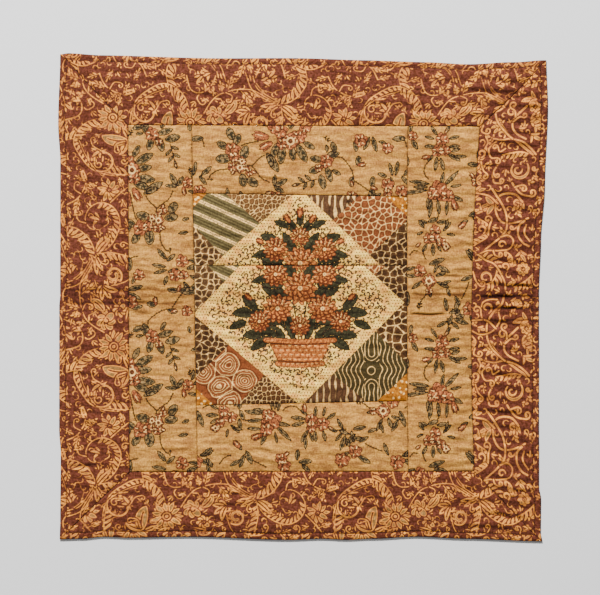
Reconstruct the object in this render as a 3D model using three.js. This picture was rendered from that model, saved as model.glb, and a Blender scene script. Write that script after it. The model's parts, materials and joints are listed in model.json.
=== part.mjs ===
// A pieced crib quilt, lying flat with its face up. Millimetres, +Z up, X across, Y towards its top.
// Ten panels are cut and sewn edge to edge over soft wadding: four mitred strips of scroll print
// outside, four strips of floral print inside them, and a printed centre joined from two pieces.
// Each panel is one closed, filled solid: flat below, crowned above, drawn in along its seams.
import * as THREE from "three";

// As cut: distances from the quilt's middle, before sewing and washing pulled it out of square.
const EDGE = 457; // half of 36 inches
const BORDER_SEAM = 327; // between the scroll print and the floral print
const CENTRE_LEFT = -203;
const CENTRE_RIGHT = 195;
const CENTRE_TOP = 190;
const CENTRE_BOTTOM = -199;
const CENTRE_JOIN = 58; // seam between the two pieces of the printed centre

// Thickness, from the surface that the quilt lies on.
const SEAM_HEIGHT = 3.2; // along seams and the hem's stitch line
const CROWN_HEIGHT = 6.2; // in the middle of a panel
const EDGE_HEIGHT = 1.8; // the turned-in edge
const HEM_WIDTH = 12; // from the edge to the stitch line
const HEM_ROLL = 0.9; // how far the hem stands up between the two
const CROWN_REACH = 34; // how far from a seam the crown is full
const PANEL_GAP = 0.3;

// Lines that run up the quilt, where they lie now. top and bottom are X at the quilt's upper and
// lower edge, bow is how far the middle of the line is drawn sideways.
const UPRIGHT_LINES = [
  { at: -EDGE, top: -454.9, bottom: -455.8, bow: 0 },
  { at: -BORDER_SEAM, top: -328.3, bottom: -324.3, bow: 0 },
  { at: CENTRE_LEFT, top: -211, bottom: -195.5, bow: 0 },
  { at: CENTRE_RIGHT, top: 195.5, bottom: 197, bow: -2 },
  { at: BORDER_SEAM, top: 332.7, bottom: 318.1, bow: -9.8 },
  { at: EDGE, top: 454.9, bottom: 447.4, bow: 0 },
];

// Lines that run across it. left and right are Y at the quilt's left and right edge.
const CROSS_LINES = [
  { at: -EDGE, left: -453.9, right: -457.7 },
  { at: -BORDER_SEAM, left: -328, right: -326.6 },
  { at: CENTRE_BOTTOM, left: -208.9, right: -189.4 },
  { at: CENTRE_JOIN, left: 58.4, right: 58.4 },
  { at: CENTRE_TOP, left: 197.4, right: 182.9 },
  { at: BORDER_SEAM, left: 321.8, right: 317.9 },
  { at: EDGE, left: 453.9, right: 442.7 },
];

// How far each edge swings out of its straight line, a row for each swing.
// along runs from left to right, or from bottom to top.
const TOP_EDGE_SWINGS = [
  { along: -457, out: 0 },
  { along: -440, out: 2.1 },
  { along: -380, out: -0.9 },
  { along: -165, out: -3.9 },
  { along: -6, out: -1.9 },
  { along: 115, out: -4.2 },
  { along: 228, out: -6.5 },
  { along: 302, out: -9.4 },
  { along: 390, out: -4.5 },
  { along: 457, out: 0 },
];
const BOTTOM_EDGE_SWINGS = [
  { along: -457, out: 0 },
  { along: -418, out: -1.1 },
  { along: -373, out: -5 },
  { along: -330, out: -3.4 },
  { along: -220, out: -5.7 },
  { along: -36, out: -0.7 },
  { along: 32, out: -3 },
  { along: 76, out: -1.3 },
  { along: 125, out: -3.4 },
  { along: 211, out: -7.5 },
  { along: 315, out: -4.1 },
  { along: 457, out: 0 },
];
const LEFT_EDGE_SWINGS = [
  { along: -457, out: 0 },
  { along: -421, out: -0.9 },
  { along: -291, out: -1.7 },
  { along: -240, out: 1.3 },
  { along: -17, out: 1.3 },
  { along: 5, out: -0.3 },
  { along: 250, out: -0.3 },
  { along: 330, out: 3.7 },
  { along: 457, out: 0 },
];
const RIGHT_EDGE_SWINGS = [
  { along: -457, out: 0 },
  { along: -440, out: -3.4 },
  { along: -376, out: -3.4 },
  { along: -354, out: -7.4 },
  { along: -174, out: -8.9 },
  { along: 5, out: -10.4 },
  { along: 106, out: -7.5 },
  { along: 218, out: -0.9 },
  { along: 364, out: 3.5 },
  { along: 457, out: 0 },
];

// Creases where the quilt was kept folded in half and where its stitching draws it in.
// Each is a soft trough along X; side_fade is how gently it runs out at its ends.
const CREASES = [
  { from: -455, to: 445, y: 1, width: 16, depth: 0.7, side_fade: 20 },
  { from: -455, to: -215, y: 12.6, width: 5, depth: 1.1, side_fade: 30 },
  { from: -455, to: -205, y: -11.7, width: 5, depth: 1.1, side_fade: 30 },
  { from: 194, to: 274, y: -31.6, width: 4, depth: 1.6, side_fade: 14 },
  { from: 194, to: 320, y: 5.5, width: 5, depth: 1.1, side_fade: 20 },
  { from: 250, to: 318, y: 40, width: 4, depth: 0.9, side_fade: 22 },
  { from: 396, to: 450, y: 100, width: 5, depth: 1, side_fade: 20 },
  { from: 384, to: 450, y: 20, width: 5, depth: 1.5, side_fade: 16 },
  { from: 322, to: 450, y: 0, width: 5, depth: 1.7, side_fade: 24 },
  { from: 330, to: 450, y: -22, width: 5, depth: 1.6, side_fade: 24 },
  { from: 366, to: 450, y: -44, width: 5, depth: 1.4, side_fade: 20 },
  { from: 366, to: 450, y: -374, width: 5, depth: 1, side_fade: 24 },
  { from: -455, to: -380, y: -316, width: 5, depth: 0.9, side_fade: 24 },
  { from: 424, to: 458, y: 366, width: 5, depth: 0.9, side_fade: 14 },
  { from: 400, to: 456, y: 338, width: 5, depth: 0.9, side_fade: 16 },
];

// Small puckers that lie across the quilt: how high, how far apart, and how much they wander.
const PUCKER = { height: 0.32, spacing: 24, wander: 5, wander_length: 190 };
const PUCKER_AT_RIGHT = { height: 0.75, reach: 95 };
const PUFF = { height: 0.45, across: 173, up: 131 }; // slow unevenness of the wadding

const middle = (a, b, t) => a + (b - a) * t;

// A value at a place between two rows of a table, straight from row to row or rounded.
function readTable(rows, key, place, value, round = (t) => t) {
  const last = rows.length - 1;
  let i = 0;
  while (i < last - 1 && place > rows[i + 1][key]) i += 1;
  const t = THREE.MathUtils.clamp((place - rows[i][key]) / (rows[i + 1][key] - rows[i][key]), 0, 1);
  return middle(value(rows[i]), value(rows[i + 1]), round(t));
}

const roundTurn = (t) => t * t * (3 - 2 * t);
const swing = (rows, along) => readTable(rows, "along", along, (row) => row.out, roundTurn);

// A line's bow is full at mid height and gone at the border seams.
const bowed = (row, q) => row.bow * Math.max(0, 1 - (q / BORDER_SEAM) ** 2);

// Where the point cut at (p, q) lies on the finished quilt.
function lieOf(p, q) {
  const up = (q + EDGE) / (2 * EDGE);
  const across = (p + EDGE) / (2 * EDGE);
  const outer = (place) => THREE.MathUtils.clamp((place - BORDER_SEAM) / (EDGE - BORDER_SEAM), 0, 1);
  const x = readTable(UPRIGHT_LINES, "at", p, (row) => middle(row.bottom, row.top, up) + bowed(row, q));
  const y = readTable(CROSS_LINES, "at", q, (row) => middle(row.left, row.right, across));
  return new THREE.Vector2(
    x + swing(RIGHT_EDGE_SWINGS, q) * outer(p) - swing(LEFT_EDGE_SWINGS, q) * outer(-p),
    y + swing(TOP_EDGE_SWINGS, p) * outer(q) - swing(BOTTOM_EDGE_SWINGS, p) * outer(-q),
  );
}

function creaseDepth(x, y) {
  return CREASES.reduce((depth, c) => {
    const inside = Math.min(x - c.from, c.to - x);
    const run = roundTurn(THREE.MathUtils.clamp(inside / c.side_fade, 0, 1));
    return depth + c.depth * run * Math.exp(-(((y - c.y) / c.width) ** 2));
  }, 0);
}

function puckerHeight(x, y) {
  const wander = PUCKER.wander * Math.sin((2 * Math.PI * x) / PUCKER.wander_length);
  const wave = Math.sin((2 * Math.PI * (y + wander)) / PUCKER.spacing);
  const { height, reach } = PUCKER_AT_RIGHT;
  const near = THREE.MathUtils.clamp(1 - (BORDER_SEAM - x) / reach, 0, 1);
  return wave * middle(PUCKER.height, height, near);
}

const puffHeight = (x, y) =>
  PUFF.height * Math.sin((2 * Math.PI * x) / PUFF.across + 1) * Math.cos((2 * Math.PI * y) / PUFF.up);

// From 0 on a seam to 1 where the crown is full, as a quarter of an ellipse.
const crown = (distance) => {
  const t = THREE.MathUtils.clamp(distance / CROWN_REACH, 0, 1);
  return Math.sqrt(1 - (1 - t) ** 2);
};

const hemHeight = (distance) => {
  const t = distance / HEM_WIDTH;
  return middle(EDGE_HEIGHT, SEAM_HEIGHT, Math.sqrt(t)) + HEM_ROLL * Math.sin(Math.PI * t);
};

// A panel's four straight sides as cut. The corners run anticlockwise, so inward is to the left.
function sidesOf(corners) {
  return corners.map((start, i) => {
    const end = corners[(i + 1) % corners.length];
    const along = end.clone().sub(start).normalize();
    const hemmed = ["x", "y"].some((k) => Math.abs(start[k]) === EDGE && start[k] === end[k]);
    return { start, inward: new THREE.Vector2(-along.y, along.x), hemmed };
  });
}

const distanceTo = (side, point) => point.clone().sub(side.start).dot(side.inward);

// The corners, drawn in by half a gap at every seam.
function drawnIn(sides) {
  return sides.map((side, i) => {
    const before = sides[(i + sides.length - 1) % sides.length];
    const [a, b] = [before, side].map((s) => (s.hemmed ? 0 : PANEL_GAP / 2));
    const turn = before.inward.cross(side.inward);
    const shift = new THREE.Vector2(
      (a * side.inward.y - b * before.inward.y) / turn,
      (b * before.inward.x - a * side.inward.x) / turn,
    );
    return side.start.clone().add(shift);
  });
}

function faceHeight(sides, point, lie) {
  const hem = Math.min(...sides.filter((s) => s.hemmed).map((s) => distanceTo(s, point)), Infinity);
  if (hem < HEM_WIDTH) return hemHeight(Math.max(hem, 0));
  const full = sides.reduce((f, s) => f * crown(distanceTo(s, point) - (s.hemmed ? HEM_WIDTH : 0)), 1);
  const relief = puckerHeight(lie.x, lie.y) + puffHeight(lie.x, lie.y);
  const crowned = CROWN_HEIGHT - SEAM_HEIGHT + relief - creaseDepth(lie.x, lie.y);
  return SEAM_HEIGHT + crowned * full;
}

// Places along a side from 0 to 1: a close pair at each end for the drawn-in seam or the hem,
// and even steps between them.
function stepsAlong(length, step) {
  const ends = [0, HEM_WIDTH / 2, HEM_WIDTH + 1];
  const inner = length - 2 * ends[2];
  const count = Math.max(2, Math.round(inner / step));
  const between = Array.from({ length: count - 1 }, (_, i) => ends[2] + (inner * (i + 1)) / count);
  return [...ends, ...between, ...ends.map((e) => length - e).reverse()].map((d) => d / length);
}

// The flat underside as corners of triangles over the rim's points, which run anticlockwise from
// the first corner. Rungs cross the panel between its two long sides. At each end, the short
// side's points are fanned to the first rung.
function undersideOf(columns, rows) {
  const count = 2 * (columns - 1) + 2 * (rows - 1);
  const near = (column) => column;
  const far = (column) => count - (rows - 1) - column;
  const start = (row) => (count - row) % count;
  const end = (row) => columns - 1 + row;
  const half = Math.floor(rows / 2);
  const [first, last] = [1, columns - 2];
  const corners = [];
  for (let row = 0; row + 1 < rows; row += 1) {
    corners.push(start(row), start(row + 1), row < half ? near(first) : far(first));
    corners.push(end(row + 1), end(row), row < half ? near(last) : far(last));
  }
  corners.push(start(half), far(first), near(first), end(half), near(last), far(last));
  for (let i = first; i < last; i += 1) {
    corners.push(near(i), far(i), near(i + 1), near(i + 1), far(i), far(i + 1));
  }
  return corners;
}

// One closed solid: the crowned face as a grid, upright sides, and a flat underside. The grid's
// columns run along the panel's first side, which is a long one.
function panelSolid({ corners, step_along, step_across }) {
  const sides = sidesOf(corners);
  const [a, b, c, d] = drawnIn(sides);
  const us = stepsAlong((a.distanceTo(b) + c.distanceTo(d)) / 2, step_along);
  const vs = stepsAlong(distanceTo(sides[0], c), step_across);
  const columns = us.length;
  const positions = [];
  for (const v of vs) {
    for (const u of us) {
      const point = a.clone().lerp(b, u).lerp(d.clone().lerp(c, u), v);
      const lie = lieOf(point.x, point.y);
      positions.push(lie.x, lie.y, faceHeight(sides, point, lie));
    }
  }
  const index = [];
  for (let row = 0; row + 1 < vs.length; row += 1) {
    for (let column = 0; column + 1 < columns; column += 1) {
      const i = row * columns + column;
      index.push(i, i + 1, i + columns + 1, i, i + columns + 1, i + columns);
    }
  }
  const top = (vs.length - 1) * columns;
  const rim = [
    ...us.map((_, k) => k),
    ...vs.slice(1).map((_, k) => (k + 2) * columns - 1),
    ...us.slice(1).map((_, k) => top + columns - 2 - k),
    ...vs.slice(1, -1).map((_, k) => top - (k + 1) * columns),
  ];
  const below = positions.length / 3;
  rim.forEach((i) => positions.push(positions[3 * i], positions[3 * i + 1], 0));
  rim.forEach((i, k) => {
    const next = (k + 1) % rim.length;
    index.push(i, below + k, below + next, i, below + next, rim[next]);
  });
  undersideOf(columns, vs.length).forEach((corner) => index.push(below + corner));
  const geometry = new THREE.BufferGeometry();
  geometry.setAttribute("position", new THREE.Float32BufferAttribute(positions, 3));
  geometry.setIndex(index);
  geometry.computeVertexNormals();
  return geometry;
}

// The corners of a panel as cut, anticlockwise from the start of its first side.
const at = (p, q) => new THREE.Vector2(p, q);
const wide = (left, right, bottom, top) => [
  at(left, bottom),
  at(right, bottom),
  at(right, top),
  at(left, top),
];
const tall = (left, right, bottom, top) => {
  const [a, b, c, d] = wide(left, right, bottom, top);
  return [b, c, d, a];
};

// An outer strip, turned anticlockwise from the lower one by quarter turns.
const mitred = (turns) =>
  [at(-EDGE, -EDGE), at(EDGE, -EDGE), at(BORDER_SEAM, -BORDER_SEAM), at(-BORDER_SEAM, -BORDER_SEAM)].map(
    (corner) => {
      for (let i = 0; i < turns; i += 1) corner.set(-corner.y, corner.x);
      return corner;
    },
  );

const [S, L, R] = [BORDER_SEAM, CENTRE_LEFT, CENTRE_RIGHT];
const [T, B, J] = [CENTRE_TOP, CENTRE_BOTTOM, CENTRE_JOIN];
const PANELS = [
  { name: "outer_border_bottom", corners: mitred(0), step_along: 19, step_across: 26 },
  { name: "outer_border_right", corners: mitred(1), step_along: 8, step_across: 26 },
  { name: "outer_border_top", corners: mitred(2), step_along: 19, step_across: 26 },
  { name: "outer_border_left", corners: mitred(3), step_along: 11, step_across: 26 },
  { name: "inner_border_left", corners: tall(-S, L, -S, S), step_along: 11, step_across: 25 },
  { name: "inner_border_right", corners: tall(R, S, -S, S), step_along: 8, step_across: 25 },
  { name: "inner_border_bottom", corners: wide(L, R, -S, B), step_along: 26, step_across: 11 },
  { name: "inner_border_top", corners: wide(L, R, T, S), step_along: 26, step_across: 11 },
  { name: "centre_panel_lower", corners: wide(L, R, B, J), step_along: 26, step_across: 11 },
  { name: "centre_panel_upper", corners: wide(L, R, J, T), step_along: 26, step_across: 11 },
];

// Printed cotton, matt: the colour that each print gives from a distance.
const CLOTHS = [
  { panels: "outer_border", color: "#a5603f", roughness: 0.9 },
  { panels: "inner_border", color: "#b8935f", roughness: 0.92 },
  { panels: "centre_panel", color: "#93805f", roughness: 0.92 },
];

const quilt = new THREE.Group();
for (const panel of PANELS) {
  const { color, roughness } = CLOTHS.find((cloth) => panel.name.startsWith(cloth.panels));
  const material = new THREE.MeshStandardMaterial({ color, roughness, metalness: 0 });
  const mesh = new THREE.Mesh(panelSolid(panel), material);
  mesh.name = panel.name;
  quilt.add(mesh);
}

// The origin is on the surface below the middle of the quilt's outline.
const box = new THREE.Box3().setFromObject(quilt);
const centre = box.getCenter(new THREE.Vector3());
quilt.position.set(-centre.x, -centre.y, 0);

export default quilt;
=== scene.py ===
# %% [markdown]
# # A pieced crib quilt
#
# The real quilt is a sandwich: a pieced face of printed cottons, a thin layer of cotton wadding and
# a backing. Sewing pulls the three together, so every seam is a small valley and every panel a low
# cushion. This lesson rebuilds it from the maker's side: first the plan in which the pieces were
# cut, then how sewing, washing and folding moved them, then the prints on the cloth, and the
# stitches last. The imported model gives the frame, and each finished panel stands for one of its
# solids.

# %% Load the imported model
import json
import math

import bmesh
import bpy
import numpy as np
from mathutils import Matrix, Vector

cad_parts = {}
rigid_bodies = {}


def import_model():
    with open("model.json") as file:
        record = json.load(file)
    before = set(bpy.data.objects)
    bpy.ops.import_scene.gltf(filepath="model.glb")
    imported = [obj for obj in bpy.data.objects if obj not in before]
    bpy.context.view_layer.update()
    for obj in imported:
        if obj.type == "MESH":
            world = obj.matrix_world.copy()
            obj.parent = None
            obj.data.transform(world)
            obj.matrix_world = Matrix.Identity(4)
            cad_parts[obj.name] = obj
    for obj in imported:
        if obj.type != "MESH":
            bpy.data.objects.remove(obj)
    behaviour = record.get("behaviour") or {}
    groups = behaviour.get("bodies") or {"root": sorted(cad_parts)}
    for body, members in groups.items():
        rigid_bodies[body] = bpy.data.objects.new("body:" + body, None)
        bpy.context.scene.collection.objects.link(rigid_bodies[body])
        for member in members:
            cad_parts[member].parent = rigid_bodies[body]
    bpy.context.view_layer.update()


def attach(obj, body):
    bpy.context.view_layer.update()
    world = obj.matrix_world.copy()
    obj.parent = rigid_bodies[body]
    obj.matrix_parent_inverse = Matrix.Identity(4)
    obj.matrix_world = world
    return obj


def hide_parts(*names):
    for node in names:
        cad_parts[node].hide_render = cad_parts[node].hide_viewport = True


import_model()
MM = 0.001  # lengths below are in millimetres, and meshes are in metres

# %% [markdown]
# ## The plan, and how the quilt lies now
#
# A quilter thinks in two maps. On the cutting plan every seam is straight and every corner square.
# On the table the same points have moved: seams lean, the right-hand edge is drawn in, the other
# edges swing. One function takes a point from the first map to the second. The plan's coordinates
# are kept as the UV map, so the weave and the wear bend with the cloth just as real ones do.

# %% The cutting plan
EDGE = 457.0  # half of 36 inches
BORDER_SEAM = 327.0  # between the scroll print and the floral print
CENTRE_LEFT, CENTRE_RIGHT = -203.0, 195.0
CENTRE_BOTTOM, CENTRE_TOP = -199.0, 190.0
CENTRE_JOIN = 58.0  # the level seam between the two pieces of the printed centre

# Lines up the quilt as they lie: X at its upper and lower edge, and the bow of the middle.
UPRIGHT_LINES = [
    dict(at=-EDGE, top=-454.9, bottom=-455.8, bow=0.0),
    dict(at=-BORDER_SEAM, top=-328.3, bottom=-324.3, bow=0.0),
    dict(at=CENTRE_LEFT, top=-211.0, bottom=-195.5, bow=0.0),
    dict(at=CENTRE_RIGHT, top=195.5, bottom=197.0, bow=-2.0),
    dict(at=BORDER_SEAM, top=332.7, bottom=318.1, bow=-9.8),
    dict(at=EDGE, top=454.9, bottom=447.4, bow=0.0),
]
# Lines across it: Y at its left and right edge.
CROSS_LINES = [
    dict(at=-EDGE, left=-453.9, right=-457.7),
    dict(at=-BORDER_SEAM, left=-328.0, right=-326.6),
    dict(at=CENTRE_BOTTOM, left=-208.9, right=-189.4),
    dict(at=CENTRE_JOIN, left=58.4, right=58.4),
    dict(at=CENTRE_TOP, left=197.4, right=182.9),
    dict(at=BORDER_SEAM, left=321.8, right=317.9),
    dict(at=EDGE, left=453.9, right=442.7),
]
# How far each edge swings out of its straight line, a pair (along, out) for each swing.
EDGE_SWINGS = dict(
    top=[(-457, 0), (-440, 2.1), (-380, -0.9), (-165, -3.9), (-6, -1.9), (115, -4.2), (228, -6.5),
         (302, -9.4), (390, -4.5), (457, 0)],
    bottom=[(-457, 0), (-418, -1.1), (-373, -5), (-330, -3.4), (-220, -5.7), (-36, -0.7), (32, -3),
            (76, -1.3), (125, -3.4), (211, -7.5), (315, -4.1), (457, 0)],
    left=[(-457, 0), (-421, -0.9), (-291, -1.7), (-240, 1.3), (-17, 1.3), (5, -0.3), (250, -0.3),
          (330, 3.7), (457, 0)],
    right=[(-457, 0), (-440, -3.4), (-376, -3.4), (-354, -7.4), (-174, -8.9), (5, -10.4),
           (106, -7.5), (218, -0.9), (364, 3.5), (457, 0)],
)
print("the centre is cut", CENTRE_RIGHT - CENTRE_LEFT, "by", CENTRE_TOP - CENTRE_BOTTOM, "mm")


# %% From the plan to the table
def round_turn(t):
    return t * t * (3 - 2 * t)


def between(places, values, at, turn=lambda t: t):
    """The value at a place between the rows of a table, straight from row to row or rounded."""
    result = values[0]
    for start, end, low, high in zip(places, places[1:], values, values[1:]):
        result = result + (high - low) * turn(np.clip((at - start) / (end - start), 0, 1))
    return result


def swing(edge, along):
    places, outs = zip(*EDGE_SWINGS[edge])
    return between(places, outs, along, round_turn)


def lie_before_centring(p, q):
    up, across = (q + EDGE) / (2 * EDGE), (p + EDGE) / (2 * EDGE)
    bow = np.clip(1 - (q / BORDER_SEAM) ** 2, 0, 1)
    xs = [r["bottom"] + (r["top"] - r["bottom"]) * up + r["bow"] * bow for r in UPRIGHT_LINES]
    ys = [r["left"] + (r["right"] - r["left"]) * across for r in CROSS_LINES]
    x = between([r["at"] for r in UPRIGHT_LINES], xs, p)
    y = between([r["at"] for r in CROSS_LINES], ys, q)

    def outer(place):
        return np.clip((place - BORDER_SEAM) / (EDGE - BORDER_SEAM), 0, 1)

    x = x + swing("right", q) * outer(p) - swing("left", q) * outer(-p)
    y = y + swing("top", p) * outer(q) - swing("bottom", p) * outer(-q)
    return x, y


def outline():
    """Points along the finished edge, to find the middle of the quilt."""
    along = np.linspace(-EDGE, EDGE, 400)
    sides = [lie_before_centring(along, np.full_like(along, s * EDGE)) for s in (-1, 1)]
    sides += [lie_before_centring(np.full_like(along, s * EDGE), along) for s in (-1, 1)]
    return np.concatenate([s[0] for s in sides]), np.concatenate([s[1] for s in sides])


outline_x, outline_y = outline()
MIDDLE_X = (outline_x.min() + outline_x.max()) / 2
MIDDLE_Y = (outline_y.min() + outline_y.max()) / 2


def lie(p, q):
    """Where the point cut at (p, q) lies on the finished quilt, in millimetres."""
    x, y = lie_before_centring(p, q)
    return x - MIDDLE_X, y - MIDDLE_Y


print("the middle of the outline is shifted by", round(MIDDLE_X, 2), round(MIDDLE_Y, 2), "mm")

# %% [markdown]
# ## Height: wadding, seams, creases and puckers
#
# Wadding fills each panel to a low crown that falls to the seams. On top of that lie the marks of
# the quilt's life: a band of creases at mid height where it was kept folded, puckers where the
# sewing gathered the cloth, most of all along the right-hand side, and the slow unevenness of
# hand-laid wadding. All of it is one height function, so neighbouring panels agree at their seam.

# %% Thickness and creases
SEAM_HEIGHT, CROWN_HEIGHT = 3.2, 6.2
EDGE_HEIGHT, HEM_WIDTH, HEM_ROLL = 2.7, 12.0, 0.9
CROWN_REACH = 34.0  # how far from a seam the cloth reaches its crown
PANEL_GAP = 0.3

# Soft troughs along X: where, how wide and deep, and how gently they run out at their ends.
CREASES = [
    dict(start=-455, end=445, y=1, width=16, depth=0.7, fade=20),
    dict(start=-455, end=-215, y=12.6, width=3.2, depth=1.3, fade=30),
    dict(start=-455, end=-205, y=-11.7, width=3.2, depth=1.3, fade=30),
    dict(start=194, end=274, y=-31.6, width=2.2, depth=2.1, fade=14),
    dict(start=194, end=320, y=5.5, width=2.8, depth=1.4, fade=20),
    dict(start=250, end=318, y=40, width=2.4, depth=1.2, fade=22),
    dict(start=396, end=450, y=100, width=3, depth=1.3, fade=20),
    dict(start=384, end=450, y=20, width=3, depth=1.9, fade=16),
    dict(start=322, end=450, y=0, width=3, depth=2.1, fade=24),
    dict(start=330, end=450, y=-22, width=3, depth=2.0, fade=24),
    dict(start=366, end=450, y=-44, width=3, depth=1.8, fade=20),
    dict(start=366, end=450, y=-374, width=3, depth=1.4, fade=24),
    dict(start=-455, end=-380, y=-316, width=3, depth=1.2, fade=24),
    dict(start=424, end=458, y=366, width=3, depth=1.2, fade=14),
    dict(start=400, end=456, y=338, width=3, depth=1.2, fade=16),
]
CREASE_WANDER = 1.6
PUCKER = dict(height=0.34, spacing=24.0, wander=5.0, wander_length=190.0)
PUCKER_AT_RIGHT = dict(height=0.9, reach=95.0)
PUFF = dict(height=0.45, across=173.0, up=131.0)
WRINKLES = dict(fine=0.46, broad=0.84, gathered=0.9, gathered_from=250.0, gathered_over=120.0)
NOISE_CELLS = 96  # hills of the soft noise along each side, before it repeats


def soft_noise(x, y, across, up, seed):
    """Smooth hills and dips between -1 and 1, about across by up millimetres each."""
    hills = np.random.default_rng(seed).uniform(-1, 1, (NOISE_CELLS, NOISE_CELLS))
    column, row = x / across + NOISE_CELLS / 2, y / up + NOISE_CELLS / 2
    c, r = np.floor(column).astype(int), np.floor(row).astype(int)
    s, t = round_turn(column - c), round_turn(row - r)

    def hill(dc, dr):
        return hills[(r + dr) % NOISE_CELLS, (c + dc) % NOISE_CELLS]

    low = hill(0, 0) * (1 - s) + hill(1, 0) * s
    high = hill(0, 1) * (1 - s) + hill(1, 1) * s
    return low * (1 - t) + high * t


def crease_depth(x, y):
    depth = np.zeros_like(x)
    wander = CREASE_WANDER * soft_noise(x, y, 26, 400, 5)
    for crease in CREASES:
        from_end = np.minimum(x - crease["start"], crease["end"] - x)
        run = round_turn(np.clip(from_end / crease["fade"], 0, 1))
        depth += crease["depth"] * run * np.exp(-(((y + wander - crease["y"]) / crease["width"]) ** 2))
    return depth


def pucker_height(x, y):
    wander = PUCKER["wander"] * np.sin(2 * math.pi * x / PUCKER["wander_length"])
    wave = np.sin(2 * math.pi * (y + wander) / PUCKER["spacing"])
    near = np.clip(1 - (BORDER_SEAM - x) / PUCKER_AT_RIGHT["reach"], 0, 1)
    return wave * (PUCKER["height"] + (PUCKER_AT_RIGHT["height"] - PUCKER["height"]) * near)


def puff_height(x, y):
    wave = np.sin(2 * math.pi * x / PUFF["across"] + 1) * np.cos(2 * math.pi * y / PUFF["up"])
    return PUFF["height"] * wave


def wrinkle_height(x, y):
    """Fine wrinkles that lie across the quilt, stronger in the drawn-in right-hand border."""
    near = np.clip((x - WRINKLES["gathered_from"]) / WRINKLES["gathered_over"], 0, 1)
    tilted = y + 0.12 * x + 7 * soft_noise(x, y, 90, 60, 14)
    fine = soft_noise(x, tilted, 38, 5.0, 11) * WRINKLES["fine"]
    broad = soft_noise(x, tilted, 64, 9.5, 12) * WRINKLES["broad"]
    gathered = soft_noise(x, tilted, 34, 7.0, 13) * WRINKLES["gathered"]
    return fine + broad + gathered * near


def crown(distance):
    t = np.clip(distance / CROWN_REACH, 0, 1)
    return np.sqrt(1 - (1 - t) ** 2)


def hem_height(distance):
    t = np.clip(distance / HEM_WIDTH, 0, 1)
    return EDGE_HEIGHT + (SEAM_HEIGHT - EDGE_HEIGHT) * np.sqrt(t) + HEM_ROLL * np.sin(math.pi * t)


print(len(CREASES), "creases, the deepest", max(crease["depth"] for crease in CREASES), "mm")

# %% [markdown]
# ## The panels
#
# Each panel is a grid, because a grid can carry the fine relief and the print at the same time. Its
# four corners on the plan place it. `create_grid` makes the face, its rim is extruded down to the
# table for the turned-under sides, and one face closes the underside. Then the face's points are
# moved to where the cloth lies.

# %% Where the panels are cut
def wide(left, right, bottom, top):
    return [(left, bottom), (right, bottom), (right, top), (left, top)]


def tall(left, right, bottom, top):
    """A rectangle whose first side is its right-hand one, so its grid runs up the quilt."""
    a, b, c, d = wide(left, right, bottom, top)
    return [b, c, d, a]


def mitred(turns):
    """The lower border strip as cut, turned by so many quarters about the quilt's middle."""
    corners = [(-EDGE, -EDGE), (EDGE, -EDGE), (BORDER_SEAM, -BORDER_SEAM), (-BORDER_SEAM, -BORDER_SEAM)]
    for _ in range(turns):
        corners = [(-q, p) for p, q in corners]
    return corners


PANELS = {
    "outer_border_bottom": mitred(0),
    "outer_border_right": mitred(1),
    "outer_border_top": mitred(2),
    "outer_border_left": mitred(3),
    "inner_border_left": tall(-BORDER_SEAM, CENTRE_LEFT, -BORDER_SEAM, BORDER_SEAM),
    "inner_border_right": tall(CENTRE_RIGHT, BORDER_SEAM, -BORDER_SEAM, BORDER_SEAM),
    "inner_border_bottom": wide(CENTRE_LEFT, CENTRE_RIGHT, -BORDER_SEAM, CENTRE_BOTTOM),
    "inner_border_top": wide(CENTRE_LEFT, CENTRE_RIGHT, CENTRE_TOP, BORDER_SEAM),
    "centre_panel_lower": wide(CENTRE_LEFT, CENTRE_RIGHT, CENTRE_BOTTOM, CENTRE_JOIN),
    "centre_panel_upper": wide(CENTRE_LEFT, CENTRE_RIGHT, CENTRE_JOIN, CENTRE_TOP),
}
print("the panels as cut:", ", ".join(PANELS))


class Side:
    """One straight side of a panel as cut. The corners run anticlockwise, so inward is left."""

    def __init__(self, start, end):
        self.start = np.array(start, float)
        run = np.array(end, float) - self.start
        self.length = np.linalg.norm(run)
        self.along = run / self.length
        self.inward = np.array([-self.along[1], self.along[0]])
        self.hemmed = any(abs(a) == EDGE and a == b for a, b in zip(start, end))
        self.inset = 0.0 if self.hemmed else PANEL_GAP / 2

    def distance(self, p, q):
        return (p - self.start[0]) * self.inward[0] + (q - self.start[1]) * self.inward[1]

    def place(self, p, q):
        return (p - self.start[0]) * self.along[0] + (q - self.start[1]) * self.along[1]


def sides_of(corners):
    return [Side(a, b) for a, b in zip(corners, corners[1:] + corners[:1])]


def drawn_in(sides):
    """The corners, half a gap inside every seam."""
    moved = []
    for before, side in zip(sides[-1:] + sides[:-1], sides):
        normals = np.array([before.inward, side.inward])
        moved.append(side.start + np.linalg.solve(normals, [before.inset, side.inset]))
    return np.array(moved)


SEAM_GATHERS = dict(height=0.42, spacing=6.5, reach=10.0)


def seam_gathers(sides, p, q):
    """Short gathers square to each seam and hem, where the thread draws the cloth together."""
    total = np.zeros_like(p)
    for number, side in enumerate(sides):
        seed = 40 + number + int(abs(side.start).sum())
        distance = side.distance(p, q) - (HEM_WIDTH if side.hemmed else 0)
        gathers = soft_noise(side.place(p, q), distance, SEAM_GATHERS["spacing"], 60, seed)
        total += gathers * np.exp(-np.abs(distance) / SEAM_GATHERS["reach"])
    return total


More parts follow.
